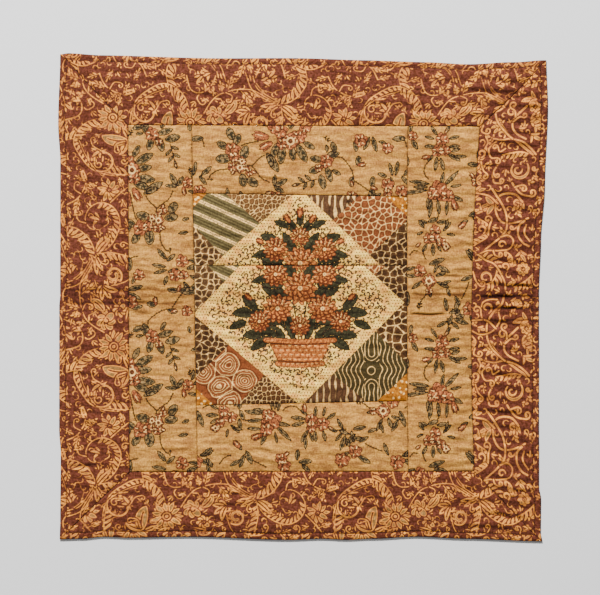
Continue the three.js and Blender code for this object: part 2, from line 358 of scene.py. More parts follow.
def face_height(sides, p, q, x, y):
    relief = CROWN_HEIGHT - SEAM_HEIGHT + pucker_height(x, y) + puff_height(x, y)
    relief = relief + wrinkle_height(x, y) - crease_depth(x, y)
    full = np.ones_like(p)
    hem = np.full_like(p, math.inf)
    for side in sides:
        distance = side.distance(p, q)
        if side.hemmed:
            hem = np.minimum(hem, distance)
        full *= crown(distance - (HEM_WIDTH if side.hemmed else 0))
    height = SEAM_HEIGHT + relief * full
    height = np.where(hem < HEM_WIDTH, hem_height(hem), height)
    gathers = SEAM_GATHERS["height"] * seam_gathers(sides, p, q)
    return height + gathers * np.clip(hem / HEM_WIDTH, 0, 1)


# %% A panel as a crowned solid
def mesh_from(bm, name):
    mesh = bpy.data.meshes.new(name)
    bm.to_mesh(mesh)
    bm.free()
    return mesh


def put_in_scene(name, data):
    thing = bpy.data.objects.new(name, data)
    bpy.context.collection.objects.link(thing)
    return thing


def crowned_panel(name, corners, step):
    """A closed solid for one panel, its plan coordinates in metres as the UV map "cloth"."""
    sides = sides_of(corners)
    a, b, c, d = drawn_in(sides)
    length = (np.linalg.norm(b - a) + np.linalg.norm(c - d)) / 2
    columns, rows = round(length / step), round(sides[0].distance(*c) / step)
    bm = bmesh.new()
    bmesh.ops.create_grid(bm, x_segments=columns, y_segments=rows, size=0.5)
    bmesh.ops.translate(bm, verts=bm.verts, vec=(0.5, 0.5, 1))
    rim = [e for e in bm.edges if e.is_boundary]
    walls = bmesh.ops.extrude_edge_only(bm, edges=rim)["geom"]
    lower = [v for v in walls if isinstance(v, bmesh.types.BMVert)]
    bmesh.ops.translate(bm, verts=lower, vec=(0, 0, -1))
    bmesh.ops.contextual_create(bm, geom=[e for e in walls if isinstance(e, bmesh.types.BMEdge)
                                          and e.is_boundary])
    bmesh.ops.recalc_face_normals(bm, faces=bm.faces)
    for face in bm.faces:
        face.smooth = True
        face.material_index = 1 if len(face.verts) > 4 else 0
    mesh = mesh_from(bm, name)
    unit = np.empty(len(mesh.vertices) * 3)
    mesh.vertices.foreach_get("co", unit)
    u, v, on_face = unit.reshape(-1, 3).T
    p, q = ((1 - v) * ((1 - u) * a[i] + u * b[i]) + v * ((1 - u) * d[i] + u * c[i]) for i in (0, 1))
    x, y = lie(p, q)
    z = face_height(sides, p, q, x, y) * (on_face > 0.5)
    mesh.vertices.foreach_set("co", (np.stack([x, y, z], 1) * MM).ravel())
    corner_vertex = np.empty(len(mesh.loops), int)
    mesh.loops.foreach_get("vertex_index", corner_vertex)
    cloth = mesh.uv_layers.new(name="cloth")
    cloth.data.foreach_set("uv", (np.stack([p, q], 1)[corner_vertex] * MM).astype("f").ravel())
    mesh.update()
    return put_in_scene(name, mesh), p, q


print("a panel rises", CROWN_HEIGHT - SEAM_HEIGHT, "mm from its seams to its crown")

# %% [markdown]
# ## Printing plates
#
# The prints are the face of this quilt. A printer had one engraved plate for each colour, and so
# does this lesson: a plate is a small map of distances, above zero where the colour prints. A
# stroke raises it along a tapered line, and a petal laid over others leaves a thin gap round
# itself, as the engraver's outline does. The values are read at every point of a panel's mesh and
# kept there, and the shader cuts them at zero, which gives edges much finer than the mesh.

# %% A plate
BARE, FAR_OUTSIDE = -4.0, -50.0  # what a field says where nothing prints, and away from any line


def inside_line(points, radii, x, y):
    """How far each place lies inside a tapered line, in millimetres."""
    best = np.full(np.broadcast(x, y).shape, FAR_OUTSIDE)
    for (x0, y0), (x1, y1), r0, r1 in zip(points, points[1:], radii, radii[1:]):
        dx, dy = x1 - x0, y1 - y0
        t = np.clip(((x - x0) * dx + (y - y0) * dy) / max(dx * dx + dy * dy, 1e-9), 0, 1)
        best = np.maximum(best, r0 + (r1 - r0) * t - np.hypot(x - x0 - t * dx, y - y0 - t * dy))
    return best


class Plate:
    """One colour's plate for one repeat of the print."""

    def __init__(self, width, height, step=0.75, repeats=True):
        self.step, self.repeats = step, repeats
        self.columns, self.rows = round(width / step), round(height / step)
        self.field = np.full((self.rows, self.columns), BARE)

    def window(self, points, reach):
        """The plate's places round a few points: their x and y, and their indices."""
        lows, highs = np.min(points, 0) - reach, np.max(points, 0) + reach
        first, last = np.floor(lows / self.step).astype(int), np.ceil(highs / self.step).astype(int)
        if not self.repeats:
            first, last = np.maximum(first, 0), np.minimum(last, (self.columns, self.rows))
            last = np.maximum(last, first)
        columns, rows = np.arange(first[0], last[0]), np.arange(first[1], last[1])
        spot = np.ix_(rows % self.rows, columns % self.columns)
        return columns * self.step, rows[:, None] * self.step, spot

    def stroke(self, points, radii):
        """Inks a tapered line through points that are a few millimetres apart."""
        points = np.asarray(points, float)
        radii = np.broadcast_to(np.asarray(radii, float), (len(points),))
        for start in range(0, len(points) - 1, 8):
            part, widths = points[start:start + 9], radii[start:start + 9]
            x, y, spot = self.window(part, widths.max() + 3)
            if x.size and y.size:
                self.field[spot] = np.maximum(self.field[spot], inside_line(part, widths, x, y))

    def dot(self, x, y, radius):
        self.stroke([(x, y), (x + 0.01, y)], radius)

    def lay(self, points, radii, rim=0.8, rib=0.0):
        """Inks a shape over what is there, with a thin bare rim, and a bare rib if it has one."""
        x, y, spot = self.window(points, np.max(radii) + rim + 3)
        if not x.size or not y.size:
            return
        shape = whole = inside_line(points, radii, x, y)
        if rib:
            vein = points[: max(int(len(points) * 0.75), 2)]
            shape = np.minimum(shape, -inside_line(vein, np.full(len(vein), rib), x, y))
        self.field[spot] = np.maximum(shape, np.minimum(self.field[spot], -whole - rim))

    def at(self, x, y):
        """The field at any places, read between the plate's own."""
        c, r = x / self.step, y / self.step
        c0, r0 = np.floor(c).astype(int), np.floor(r).astype(int)
        s, t = c - c0, r - r0

        def read(dc, dr):
            return self.field[(r0 + dr) % self.rows, (c0 + dc) % self.columns]

        low = read(0, 0) * (1 - s) + read(1, 0) * s
        return low * (1 - t) + (read(0, 1) * (1 - s) + read(1, 1) * s) * t


# %% Lines that a print cutter draws
def curve(through, step=1.5):
    """A smooth line through a few chosen points."""
    p = np.asarray(through, float)
    p = np.vstack([2 * p[0] - p[1], p, 2 * p[-1] - p[-2]])
    pieces = []
    for a, b, c, d in zip(p, p[1:], p[2:], p[3:]):
        t = np.linspace(0, 1, max(int(np.linalg.norm(c - b) / step), 2), endpoint=False)[:, None]
        pieces.append(0.5 * (2 * b + (c - a) * t + (2 * a - 5 * b + 4 * c - d) * t**2
                             + (3 * b - a - 3 * c + d) * t**3))
    return np.vstack(pieces + [p[-2:-1]])


def heading(degrees, length=1.0):
    return length * np.array([math.cos(math.radians(degrees)), math.sin(math.radians(degrees))])


def spiral(cx, cy, outer, inner, start, turns, step=1.5):
    """A scroll that winds in from an outer to an inner radius. Angles are in degrees."""
    count = max(int(abs(turns) * math.pi * (outer + inner) / step), 6)
    t = np.linspace(0, 1, count)
    angle = np.radians(start) + turns * 2 * math.pi * t
    radius = outer + (inner - outer) * t**0.85
    return np.stack([cx + radius * np.cos(angle), cy + radius * np.sin(angle)], 1)


def taper(count, start, widest, end, where=0.4):
    """Half widths along a line: from start through widest, at a share of the way, to end."""
    return np.interp(np.linspace(0, 1, count), [0, where, 1], [start, widest, end])


def blade(x, y, angle, length, width, bend=0.0, tip=0.12):
    """The line and half widths of one petal or leaf from its base. Bend curls its tip left."""
    count = max(int(length / 1.6), 4)
    t = np.linspace(0, 1, count)
    turns = np.radians(angle + bend * t[:-1])
    step = length / (count - 1)
    ways = np.stack([np.cos(turns), np.sin(turns)], 1)
    line = np.array([x, y]) + np.vstack([[0, 0], np.cumsum(ways, 0) * step])
    half = width / 2 * np.sin(math.pi * np.clip(t * (0.98 - tip) + tip, 0, 1)) ** 0.8
    return line, half


# %% Motifs of the scroll print
def petal(plate, x, y, angle, length, width, bend=0.0, rib=0.0, rim=1.3):
    line, half = blade(x, y, angle, length, width, bend)
    plate.lay(line, half, rim=rim, rib=rib)


def leaflet(plate, x, y, angle, size, side=1):
    """A lobed tuft of a feathered leaf: three fingers that share a base."""
    for turn, share in ((50, 0.7), (-46, 0.8), (2, 1.0)):
        petal(plate, x, y, angle + side * turn, size * share, size * 0.26, bend=side * 36, rim=1.6)


def feathered(plate, spine, side, pitch, size, start=0.05, end=0.97, slant=72, stem=1.9):
    """A scrolling leaf: a firm spine with swept fingers along one side, long and short by turns."""
    line = curve(spine)
    length = np.linalg.norm(np.diff(line, axis=0), axis=1).sum()
    count = max(round(length * (end - start) / pitch), 3)
    for k in range(count):
        share = start + (end - start) * k / (count - 1)
        i = min(int(share * (len(line) - 1)), len(line) - 2)
        run = math.degrees(math.atan2(*(line[i + 1] - line[i])[::-1]))
        swell = 0.6 + 0.4 * math.sin(math.pi * (0.1 + 0.8 * k / (count - 1)))
        swell *= 1.0 if k % 2 else 0.84
        petal(plate, *line[i], run + side * slant, size * swell, pitch * 0.66, bend=-side * 56, rim=1.8)
    plate.stroke(line, taper(len(line), 1.1, stem * 0.8, 1.1))


def daisy(plate, x, y, radius, petals, eye, width=None, notch=False):
    """A flower of broad petals around a ringed eye."""
    width = width or 2 * math.pi * radius / petals * 0.86
    for k in range(petals):
        angle = 360 * k / petals + 7
        base = np.array([x, y]) + heading(angle, eye * 0.6)
        long = (radius if k % 2 == 0 else radius * 0.9) - eye * 0.6
        if notch:
            petal(plate, *base, angle + 9, long * 0.9, width * 0.62)
            petal(plate, *base, angle - 9, long, width * 0.62)
        else:
            petal(plate, *base, angle, long, width)
    middle = np.array([(x, y), (x + 0.01, y)])
    plate.lay(middle, np.full(2, max(eye - 1.2, 2.6)), rim=2.1)
    if eye > 6:
        plate.lay(middle, np.full(2, eye * 0.36), rim=2.0)
    else:
        plate.field[plate.window(middle, 0.9)[2]] = -0.8


def sprig(plate, x, y, angle, size):
    """A stalk with small leaflets, for the gaps between scrolls."""
    for share, turn in ((0.3, 52), (0.4, -52), (0.62, 44), (0.72, -44), (0.9, 2)):
        base = np.array([x, y]) + heading(angle, size * share)
        petal(plate, *base, angle + turn, size * 0.44, size * 0.2, bend=-turn * 0.9, rim=1.4)
    plate.stroke([(x, y), (x, y) + heading(angle, size * 0.5), (x, y) + heading(angle, size)], 1.1)


def tendril(plate, through, curl=0, turns=0.8, width=1.3):
    """A thin stem through points, with a curl at its end."""
    line = curve(through)
    if curl:
        run = line[-1] - line[-3]
        way = math.atan2(run[1], run[0])
        side = 1 if turns > 0 else -1
        cx, cy = line[-1] + side * curl * np.array([-math.sin(way), math.cos(way)])
        line = np.vstack([line, spiral(cx, cy, curl, curl * 0.3, math.degrees(way) - side * 90, turns)])
    plate.lay(line, taper(len(line), width * 0.9, width * 0.8, width * 0.75), rim=1.7)
    plate.dot(*line[-1], width * (1.35 if curl else 0.9))


def fill_gaps(plate, tries, clear, seed):
    """Sets a tuft or a curled leaf wherever a try finds bare ground as far as clear all round."""
    chance = np.random.default_rng(seed)
    width, height = plate.columns * plate.step, plate.rows * plate.step
    ring = np.array([heading(30 * k, clear * (0.5 + 0.5 * (k % 2))) for k in range(12)])
    for x, y, angle, size in chance.uniform((0, 0, 0, 1.6), (width, height, 360, 2.3), (tries, 4)):
        if plate.at(*(ring + (x, y)).T).max() < -0.5:
            base = np.array([x, y]) - heading(angle, clear * 0.8)
            if size < 1.9:
                leaflet(plate, *base, angle, clear * size)
            else:
                hook = spiral(x, y, clear, clear * 0.4, angle, 0.62)
                plate.stroke(hook, taper(len(hook), 0.5, 1.2, 1.3, 0.6))


# %% The scroll plate
SCROLL_REPEAT, SCROLL_LANES = 430.0, 262.0
SCROLL_THINNED = 0.42  # how much thinner the figure prints than it is drawn


def scroll_plate():
    """One repeat of the border print: scrolling feathered leaves with daisies and tendrils."""
    ink = Plate(SCROLL_REPEAT, SCROLL_LANES)
    # small growth that fills the gaps
    for x, y, angle, size in ((98, 62, 120, 20), (110, 20, 240, 16), (150, 22, 300, 18), (214, 20, 250, 20),
                              (216, 66, 60, 18), (226, 88, 10, 20), (318, 60, 330, 18), (232, 30, 200, 16),
                              (306, 22, 290, 16), (340, 12, 20, 18), (398, 74, 60, 20), (420, 80, 130, 18),
                              (66, 34, 250, 14), (186, 88, 300, 18), (20, 122, 60, 20), (44, 128, 20, 20),
                              (100, 126, 20, 20), (360, 118, 150, 20), (222, 128, 200, 18), (8, 96, 100, 18),
                              (378, 16, 30, 16), (250, 78, 200, 16), (282, 38, 250, 14), (66, 6, 20, 16)):
        sprig(ink, x, y, angle, size)
    # the great arch over a spiral
    arch = [(14, 2), (12, 45), (24, 82), (48, 103), (76, 116), (102, 109), (120, 90), (128, 66)]
    feathered(ink, arch, -1, 9.5, 31, start=0.42, end=0.95)
    feathered(ink, [(16, 2), (14, 28), (18, 58)], -1, 8.5, 24, start=0.08, end=0.85)
    tendril(ink, [(24, 76), (40, 88), (60, 98), (84, 106)], width=1.3)
    for x, y, angle, size in ((50, 78, 205, 18), (52, 62, 190, 15), (46, 50, 150, 13), (36, 48, 110, 11)):
        leaflet(ink, x, y, angle, size, -1)
    scroll = spiral(42, 63, 23, 15, 150, 0.9)
    ink.lay(scroll, taper(len(scroll), 1.4, 2.3, 1.4))
    leaflet(ink, 62, 66, 110, 22, 1)
    tendril(ink, [(63, 66), (72, 80), (84, 84)], 6, -0.7, 1.6)
    small = spiral(34, 70, 8.5, 3, 60, 1.0)
    ink.lay(small, np.full(len(small), 1.5))
    # flowers
    daisy(ink, 176, 56, 18, 7, 4.5)
    daisy(ink, 196, 30, 14, 8, 3.6)
    daisy(ink, 129, 42, 31, 11, 9.5, notch=True)
    daisy(ink, 412, 50, 24, 10, 3.4, width=9)
    # a bud and its leaves under the arch
    for x, y, angle, length, width, bend in ((84, 16, 168, 34, 13, -30), (88, 14, 12, 24, 10, 30),
                                             (86, 22, 62, 28, 10, 50), (84, 20, 100, 44, 23, -44),
                                             (60, 10, 190, 26, 11, 30), (112, 10, 20, 20, 9, 20),
                                             (196, 62, 35, 30, 17, 40), (176, 18, 340, 26, 9, 20)):
        petal(ink, x, y, angle, length, width, bend, rib=0.9)
    tendril(ink, [(82, 20), (76, 36), (64, 40)], 6.5, 0.7, 1.7)
    tendril(ink, [(60, 14), (50, 10), (38, 16)], 7, -0.85, 1.8)
    # the rising stem with sprigs
    for x, y, angle, size in ((179, 94, 128, 26), (190, 98, 100, 20), (199, 101, 74, 24), (222, 105, -48, 26),
                              (236, 104, -30, 20), (168, 82, 160, 16)):
        sprig(ink, x, y, angle, size)
    tendril(ink, [(155, 60), (167, 80), (180, 94), (197, 101), (216, 106), (244, 105), (268, 92), (292, 78)],
            width=1.6)
    tendril(ink, [(196, 100), (207, 94), (206, 84)], 6, -0.8, 1.6)
    tendril(ink, [(151, 101), (143, 90), (148, 79)], 7, 0.75, 1.8)
    tendril(ink, [(124, 132), (130, 109), (141, 100), (157, 102), (171, 116), (178, 132)], width=1.8)
    leaflet(ink, 158, 103, 75, 16)
    # a bowl of feathered leaf above the node
    bowl = [(232, 140), (243, 108), (262, 91), (292, 78), (318, 85), (336, 102), (345, 124), (341, 150)]
    feathered(ink, bowl, 1, 9.5, 31, start=0.46, end=0.95)
    tendril(ink, [(246, 132), (254, 108), (276, 92), (290, 84)], width=1.5)
    tendril(ink, [(252, 118), (262, 106), (280, 100)], width=1.3)
    for x, y, angle, size in ((262, 124, 10, 22), (284, 120, 100, 20), (276, 130, 40, 20)):
        leaflet(ink, x, y, angle, size)
    # leaves that spring from the node, and the round scroll
    ring = [(296, 74), (308, 52), (330, 36), (356, 30), (379, 41), (389, 64), (380, 86), (360, 96), (343, 87),
            (340, 70)]
    feathered(ink, ring, 1, 8.5, 21, start=0.05, end=0.62)
    for angle, size in ((-12, 34), (-34, 38), (172, 38), (192, 32)):
        petal(ink, 296, 74, angle, size, 11, bend=-18 if angle < 0 else 20, rib=0.9)
    leaflet(ink, 358, 70, 60, 20)
    tendril(ink, [(346, 60), (352, 52), (364, 54)], width=1.6)
    tendril(ink, [(352, 95), (356, 108), (366, 113)], 6, -0.75, 1.7)
    feathered(ink, [(297, 72), (299, 45), (290, 4)], -1, 8.5, 22, start=0.15, end=0.92)
    tendril(ink, [(290, 72), (281, 66), (278, 58)], 6, 0.8, 1.7)
    # a shell of curled leaf
    for k in range(7):
        angle = 30 + 40 * k
        petal(ink, *(np.array([258, 42]) + heading(angle, 6)), angle + 60, 13, 6.5, bend=50)
    shell = spiral(258, 42, 20, 5, 120, 1.5)
    ink.lay(shell, taper(len(shell), 1.6, 2.4, 3.4, 0.5))
    tendril(ink, [(237, 64), (240, 44), (246, 22), (256, 6)], width=1.6)
    for angle, size in ((115, 18), (155, 26), (196, 26), (238, 28)):
        petal(ink, 238, 60, angle, size, 11, bend=35, rib=0.9)
    tendril(ink, [(256, 8), (242, 6), (232, 14)], 5, -0.8, 1.5)
    # along the lower edge and between the scrolls
    tendril(ink, [(300, 10), (312, 12), (318, 22)], 6, 0.85, 1.7)
    tendril(ink, [(334, 30), (334, 18), (328, 8)], width=1.5)
    leaflet(ink, 334, 20, -80, 14)
    tendril(ink, [(352, 4), (372, 6), (378, 20)], 7.5, 0.9, 1.8)
    tendril(ink, [(389, 48), (402, 34), (416, 18), (424, 4)], width=1.7)
    sprig(ink, 414, 22, 20, 20)
    tendril(ink, [(384, 132), (394, 112), (410, 100), (430, 94), (442, 96)], width=1.8)
    for x, y, angle, size in ((398, 108, 165, 24), (412, 99, -60, 24), (424, 96, -100, 18),
                              (430, 96, 60, 18)):
        sprig(ink, x, y, angle, size)
    tendril(ink, [(404, 104), (412, 116), (424, 116)], 6, -0.8, 1.6)
    petal(ink, 430, 94, 30, 24, 10, bend=-30, rib=0.9)
    fill_gaps(ink, 600, 7.5, 4)
    # the other lane is the same one turned half round
    ink.field = np.maximum(ink.field, ink.field[::-1, ::-1]) - SCROLL_THINNED
    return ink


# %% The stretch of it on the right-hand strip
# This strip was cut from between the great leaves, where the print has fine scrolls. It is charted
# on a finer grid, from the inner seam up and from the quilt's top edge along.
FINE_SQUARE = 0.267  # millimetres for each square of this chart
FINE_CHART_FOOT = 545  # its lowest row, which lies beside the inner seam
FINE_LANE = 152.0  # how high one lane of it is
FINE_STEMS = [  # width, curl at the end, its turns, and the places that the stem runs through
    (2.6, 0, 0, [(645, 130), (600, 190), (525, 290), (480, 335), (435, 370)]),
    (2.0, 0, 0, [(645, 110), (600, 150), (555, 215), (535, 300), (545, 360), (535, 420)]),
    (2.2, 0, 0, [(295, 190), (375, 270), (445, 290), (495, 260), (535, 190)]),
    (1.9, 8, -0.9, [(375, 270), (330, 275), (310, 300)]),
    (1.8, 6, 0.8, [(410, 285), (375, 240), (380, 215)]),
    (2.0, 0, 0, [(665, 350), (745, 390), (795, 412), (830, 405)]),
    (1.7, 6, 0.9, [(740, 390), (770, 405), (800, 400)]),
    (2.0, 8, 0.9, [(850, 270), (880, 250), (930, 200), (945, 130)]),
    (1.8, 7, -0.9, [(880, 250), (868, 215), (865, 190)]),
    (1.8, 6, 0.9, [(830, 405), (850, 395), (855, 350)]),
    (2.1, 0, 0, [(985, 190), (935, 240), (928, 320), (965, 370), (1055, 375), (1125, 340), (1145, 285),
         (1135, 215), (1105, 140)]),
    (2.1, 0, 0, [(895, 410), (995, 340), (1075, 300), (1175, 290), (1235, 320), (1305, 400),
         (1375, 480)]),
    (1.7, 0, 0, [(1245, 330), (1232, 275), (1270, 238), (1330, 262), (1345, 340), (1345, 420),
         (1370, 480)]),
    (1.9, 0, 0, [(1375, 490), (1415, 430), (1440, 375), (1495, 330), (1575, 290), (1640, 280)]),
    (1.7, 6, 0.9, [(1345, 380), (1375, 370), (1392, 340)]),
    (1.6, 5, -0.8, [(1160, 210), (1180, 225), (1190, 245)]),
    (2.0, 0, 0, [(1000, 365), (945, 430), (925, 520)]),
    (1.8, 8, 0.9, [(1230, 420), (1170, 415), (1125, 400)]),
    (2.1, 0, 0, [(60, 290), (125, 310), (185, 370), (255, 410), (345, 415), (425, 390), (495, 330),
         (535, 285)]),
    (1.8, 0, 0, [(185, 330), (245, 322), (305, 360), (335, 412), (340, 470), (310, 530)]),
    (1.8, 7, -0.9, [(555, 400), (610, 450), (670, 430), (672, 385)]),
    (1.6, 6, 0.9, [(605, 330), (628, 370), (590, 385)]),
    (1.7, 7, 0.9, [(440, 500), (480, 510), (500, 480)]),
    (1.6, 5, -0.9, [(700, 60), (740, 75), (760, 110)]),
    (2.2, 0, 0, [(1125, 165), (1160, 200), (1225, 205), (1285, 170), (1312, 125)]),
    (1.9, 0, 0, [(1155, 150), (1215, 160), (1275, 118)]),
    (1.7, 0, 0, [(90, 340), (90, 400), (120, 450), (210, 455)]),
    (1.8, 8, 0.9, [(300, 350), (250, 400), (225, 450), (160, 460)]),
    (1.6, 0, 0, [(235, 450), (240, 530)]),
    (1.7, 7, 0.9, [(1500, 520), (1560, 500), (1600, 470)]),
    (1.6, 6, -0.9, [(700, 500), (760, 480), (790, 450)]),
]
FINE_FEATHERS = [  # side, pitch, length, and the places that the leaf's spine runs through
    (1, 7.0, 14, [(640, 160), (628, 230), (650, 350)]),
    (-1, 8.0, 15, [(1345, 300), (1385, 250), (1445, 240), (1485, 285)]),
    (1, 7.5, 19, [(1420, 510), (1410, 420), (1465, 352), (1550, 365), (1592, 430), (1560, 480)]),
    (-1, 7.5, 15, [(1100, 510), (1160, 425), (1240, 425), (1310, 520)]),
    (-1, 7.0, 12, [(95, 335), (160, 322), (205, 390)]),
    (-1, 7.5, 13, [(340, 530), (395, 495), (465, 530)]),
    (1, 7.5, 13, [(515, 480), (560, 460), (610, 480)]),
    (1, 7.5, 16, [(1490, 60), (1560, 130), (1610, 220)]),
]
FINE_CRESCENTS = [  # a curl's middle, outer and inner radii, start and turns
    (752, 225, 19, 14, 130, -0.72), (757, 235, 9, 4, 100, -0.8), (1540, 430, 12, 5, 60, 0.9),
    (150, 415, 11, 4, 20, 0.9), (340, 300, 8, 3, 200, 0.8), (505, 365, 8, 3, 40, 0.9),
    (880, 200, 9, 3, 0, 0.9), (1190, 470, 9, 3, 30, 0.9), (1460, 290, 8, 3, 30, 0.9),
    (1300, 320, 8, 3, 90, 0.9), (995, 230, 9, 4, 60, 0.8), (640, 500, 8, 3, 0, 0.9),
]
FINE_LEAVES = [  # x, y, angle, length and width
    (135, 160, 250, 16, 9), (120, 110, 300, 14, 8), (245, 120, 262, 26, 14), (340, 100, 300, 20, 12),
    (355, 90, 350, 16, 9), (440, 370, 235, 17, 8), (440, 372, 270, 18, 8), (450, 372, 300, 17, 8),
    (430, 365, 200, 14, 7), (535, 415, 240, 13, 6), (535, 418, 290, 12, 6), (440, 130, 60, 22, 9),
    (500, 150, 50, 24, 9), (410, 160, 80, 16, 8), (985, 190, 330, 20, 12), (1010, 215, 300, 14, 9),
    (1050, 220, 20, 14, 7), (1010, 385, 280, 34, 17), (1060, 470, 250, 16, 8), (1345, 180, 10, 22, 9),
    (1235, 300, 120, 13, 7), (1215, 320, 190, 12, 6), (1310, 240, 70, 12, 6), (1325, 230, 100, 14, 6),
    (835, 530, 95, 24, 12), (760, 530, 105, 18, 9), (900, 530, 80, 18, 9), (690, 530, 100, 15, 8),
    (960, 540, 70, 15, 8), (180, 250, 60, 14, 7), (185, 240, 120, 11, 6), (100, 240, 80, 16, 8),
    (60, 160, 60, 14, 8), (1570, 210, 280, 16, 8), (1590, 130, 60, 16, 9), (1450, 210, 250, 13, 7),
    (835, 160, 70, 12, 7), (795, 120, 30, 13, 6), (1045, 110, 60, 14, 8), (1000, 100, 100, 12, 7),
    (700, 330, 200, 12, 6), (715, 420, 260, 12, 6), (290, 480, 60, 16, 8), (270, 520, 120, 14, 7),
    (400, 440, 300, 12, 6), (590, 80, 20, 16, 8), (1480, 470, 200, 12, 7), (1380, 130, 60, 12, 7),
    (1240, 90, 20, 16, 7), (960, 90, 120, 13, 7),
]


def fine_plate():
    """One repeat of the print's fine scrolls."""
    ink = Plate(SCROLL_REPEAT, FINE_LANE)

    def on(*places):
        return [(x * FINE_SQUARE, (FINE_CHART_FOOT - y) * FINE_SQUARE) for x, y in places]

    for x, y, angle, length, width in FINE_LEAVES:
        base = on((x, y))[0]
        petal(ink, *base, angle, length * 1.15, width * 0.8, bend=34, rib=0.9 if width > 9 else 0.0)
        for turn in (-34, 30):
            petal(ink, *base, angle + turn, length * 0.75, width * 0.5, bend=turn * 1.3, rim=1.6)
    for side, pitch, length, spine in FINE_FEATHERS:
        feathered(ink, on(*spine), side, pitch, length * 1.15, start=0.08, end=0.94)
    for x, y, outer, inner, start, turns in FINE_CRESCENTS:
        curl = spiral(*on((x, y))[0], outer, inner, start, turns)
        ink.lay(curl, taper(len(curl), 1.2, 1.2 + outer * 0.1, 1.2), rim=1.7)
    daisy(ink, *on((1480, 160))[0], 13, 8, 3.4)
    daisy(ink, *on((300, 130))[0], 11, 7, 3.2)
    for width, curl, turns, through in FINE_STEMS:
        tendril(ink, on(*through), curl, turns, width)
    fill_gaps(ink, 900, 7.5, 5)
    fill_gaps(ink, 1400, 5.8, 6)
    return ink


SCROLL, FINE_SCROLL = scroll_plate(), fine_plate()


def share_inked(plate):
    return round(float((plate.field > 0).mean()), 2)


print("the great scrolls cover this share of the ground:", share_inked(SCROLL))
print("the fine scrolls cover:", share_inked(FINE_SCROLL))


# %% [markdown]
# ## The floral print
#
# The inner strips are cut from one furnishing print with thorny stems, pointed and rounded leaves
# and brick-pink flowers. It has four colours, so four plates: leaves, flowers, cream lights and
# the dark line. Two lanes of it are charted on squared paper, ten squares to the width of
# a photograph's pixel, with rows for leaves and flowers. The upper and lower strips are the same
# two lanes turned on their side, as the quilter cut them.

# %% Motifs of the floral print
PHOTO_SCALE = 1.87  # millimetres of the quilt for each pixel of the photograph
SQUARES_A_PIXEL = 10
SQUARE = PHOTO_SCALE / SQUARES_A_PIXEL  # millimetres for each square of the chart


class Floral:
    """The four plates of the floral print. Charts run right and down, and angles turn left."""

    def __init__(self, width, height, unit=SQUARE, repeats=True):
        self.unit = unit
        self.leaf, self.bloom, self.light, self.line = (
            Plate(width * unit, height * unit, repeats=repeats) for _ in range(4))

    def draw_leaf(self, x, y, angle, length, width, bend=0):
        u = self.unit
        line, half = blade(x * u, y * u, -angle, length * u * 1.2, width * u * 1.04, -bend, tip=0.05)
        self.leaf.lay(line, half, rim=0.0)
        self.line.stroke(line[: max(int(len(line) * 0.7), 2)], 0.5)

    def draw_bloom(self, x, y, radius, petals=6, turn=10):
        u, radius = self.unit, radius * 1.12
        for k in range(petals):
            angle = turn + 360 * k / petals
            base = np.array([x, y]) * u + heading(angle, radius * u * 0.12)
            line, half = blade(*base, angle, radius * u * (0.98 - 0.16 * (k % 2)), radius * u * 1.05,
                               bend=24, tip=0.22)
            self.bloom.lay(line, half, rim=0.0)
            if k % 3 != 1:
                bright = base + heading(angle + 22, radius * u * 0.38)
                tip = base + heading(angle + 10, radius * u * 0.74)
                self.light.stroke([bright, tip], [1.1, 0.7])
        self.line.dot(x * u, y * u, 1.4)

    def draw_cup(self, x, y, radius):
        """An open flower that shows its dark heart inside a cream ring."""
        u = self.unit
        self.draw_bloom(x, y, radius, 8, 0)
        ring = spiral(x * u, y * u, radius * u * 0.5, radius * u * 0.5, 0, 1, 0.6)
        self.light.lay(ring, np.full(len(ring), radius * u * 0.13), rim=0.5)
        for k in range(5):
            self.line.dot(*(np.array([x, y]) * u + heading(72 * k, radius * u * 0.2)), radius * u * 0.16)

    def draw_bud(self, x, y, angle, length):
        u = self.unit
        for turn, share in ((16, 0.9), (-18, 0.86), (0, 1.0)):
            line, half = blade(x * u, y * u, -angle + turn, length * u * share, length * u * 0.42, tip=0.3)
            self.bloom.lay(line, half, rim=0.0)
        tip = np.array([x, y]) * u + heading(-angle + 4, length * u * 0.75)
        middle = np.array([x, y]) * u + heading(-angle + 10, length * u * 0.3)
        self.light.stroke([middle, tip], [1.0, 0.6])

    def draw_stem(self, through, thorny=True):
        line = curve(np.array(through, float) * self.unit, 1.0)
        if not thorny:
            self.line.stroke(line, 0.7)
            return
        for i in range(0, len(line) - 3, 5):
            self.line.stroke(line[i:i + 4], 1.0)
            run = line[i + 2] - line[i + 1]
            side = np.array([-run[1], run[0]]) * (2.2 if i % 2 else -2.2)
            self.line.stroke([line[i + 1], line[i + 1] + side], [0.7, 0.4])

    def draw_sprout(self, x, y, angle, size):
        """A twig with paired small leaves and a bud at its tip."""
        step = heading(-angle, size)
        for share, turn in ((0.15, 55), (0.3, -60), (0.5, 50), (0.6, -52), (0.85, 0)):
            self.draw_leaf(x + step[0] * share, y + step[1] * share, angle + turn, size * 0.34, size * 0.16)
        self.draw_stem([(x, y), (x + step[0] / 2, y + step[1] / 2), (x + step[0], y + step[1])], thorny=False)
        self.draw_bud(x + step[0], y + step[1], angle, size * 0.2)

    def draw(self, chart):
        """Draws a chart: first its stems, then leaves, then flowers over them."""
        for through in chart["stems"]:
            self.draw_stem(through)
        for row in chart["leaves"]:
            self.draw_leaf(*row)
        for row in chart["sprouts"]:
            self.draw_sprout(*row)
        for row in chart["blooms"]:
            self.draw_bloom(*row)
        for row in chart["cups"]:
            self.draw_cup(*row)
        for row in chart["buds"]:
            self.draw_bud(*row)
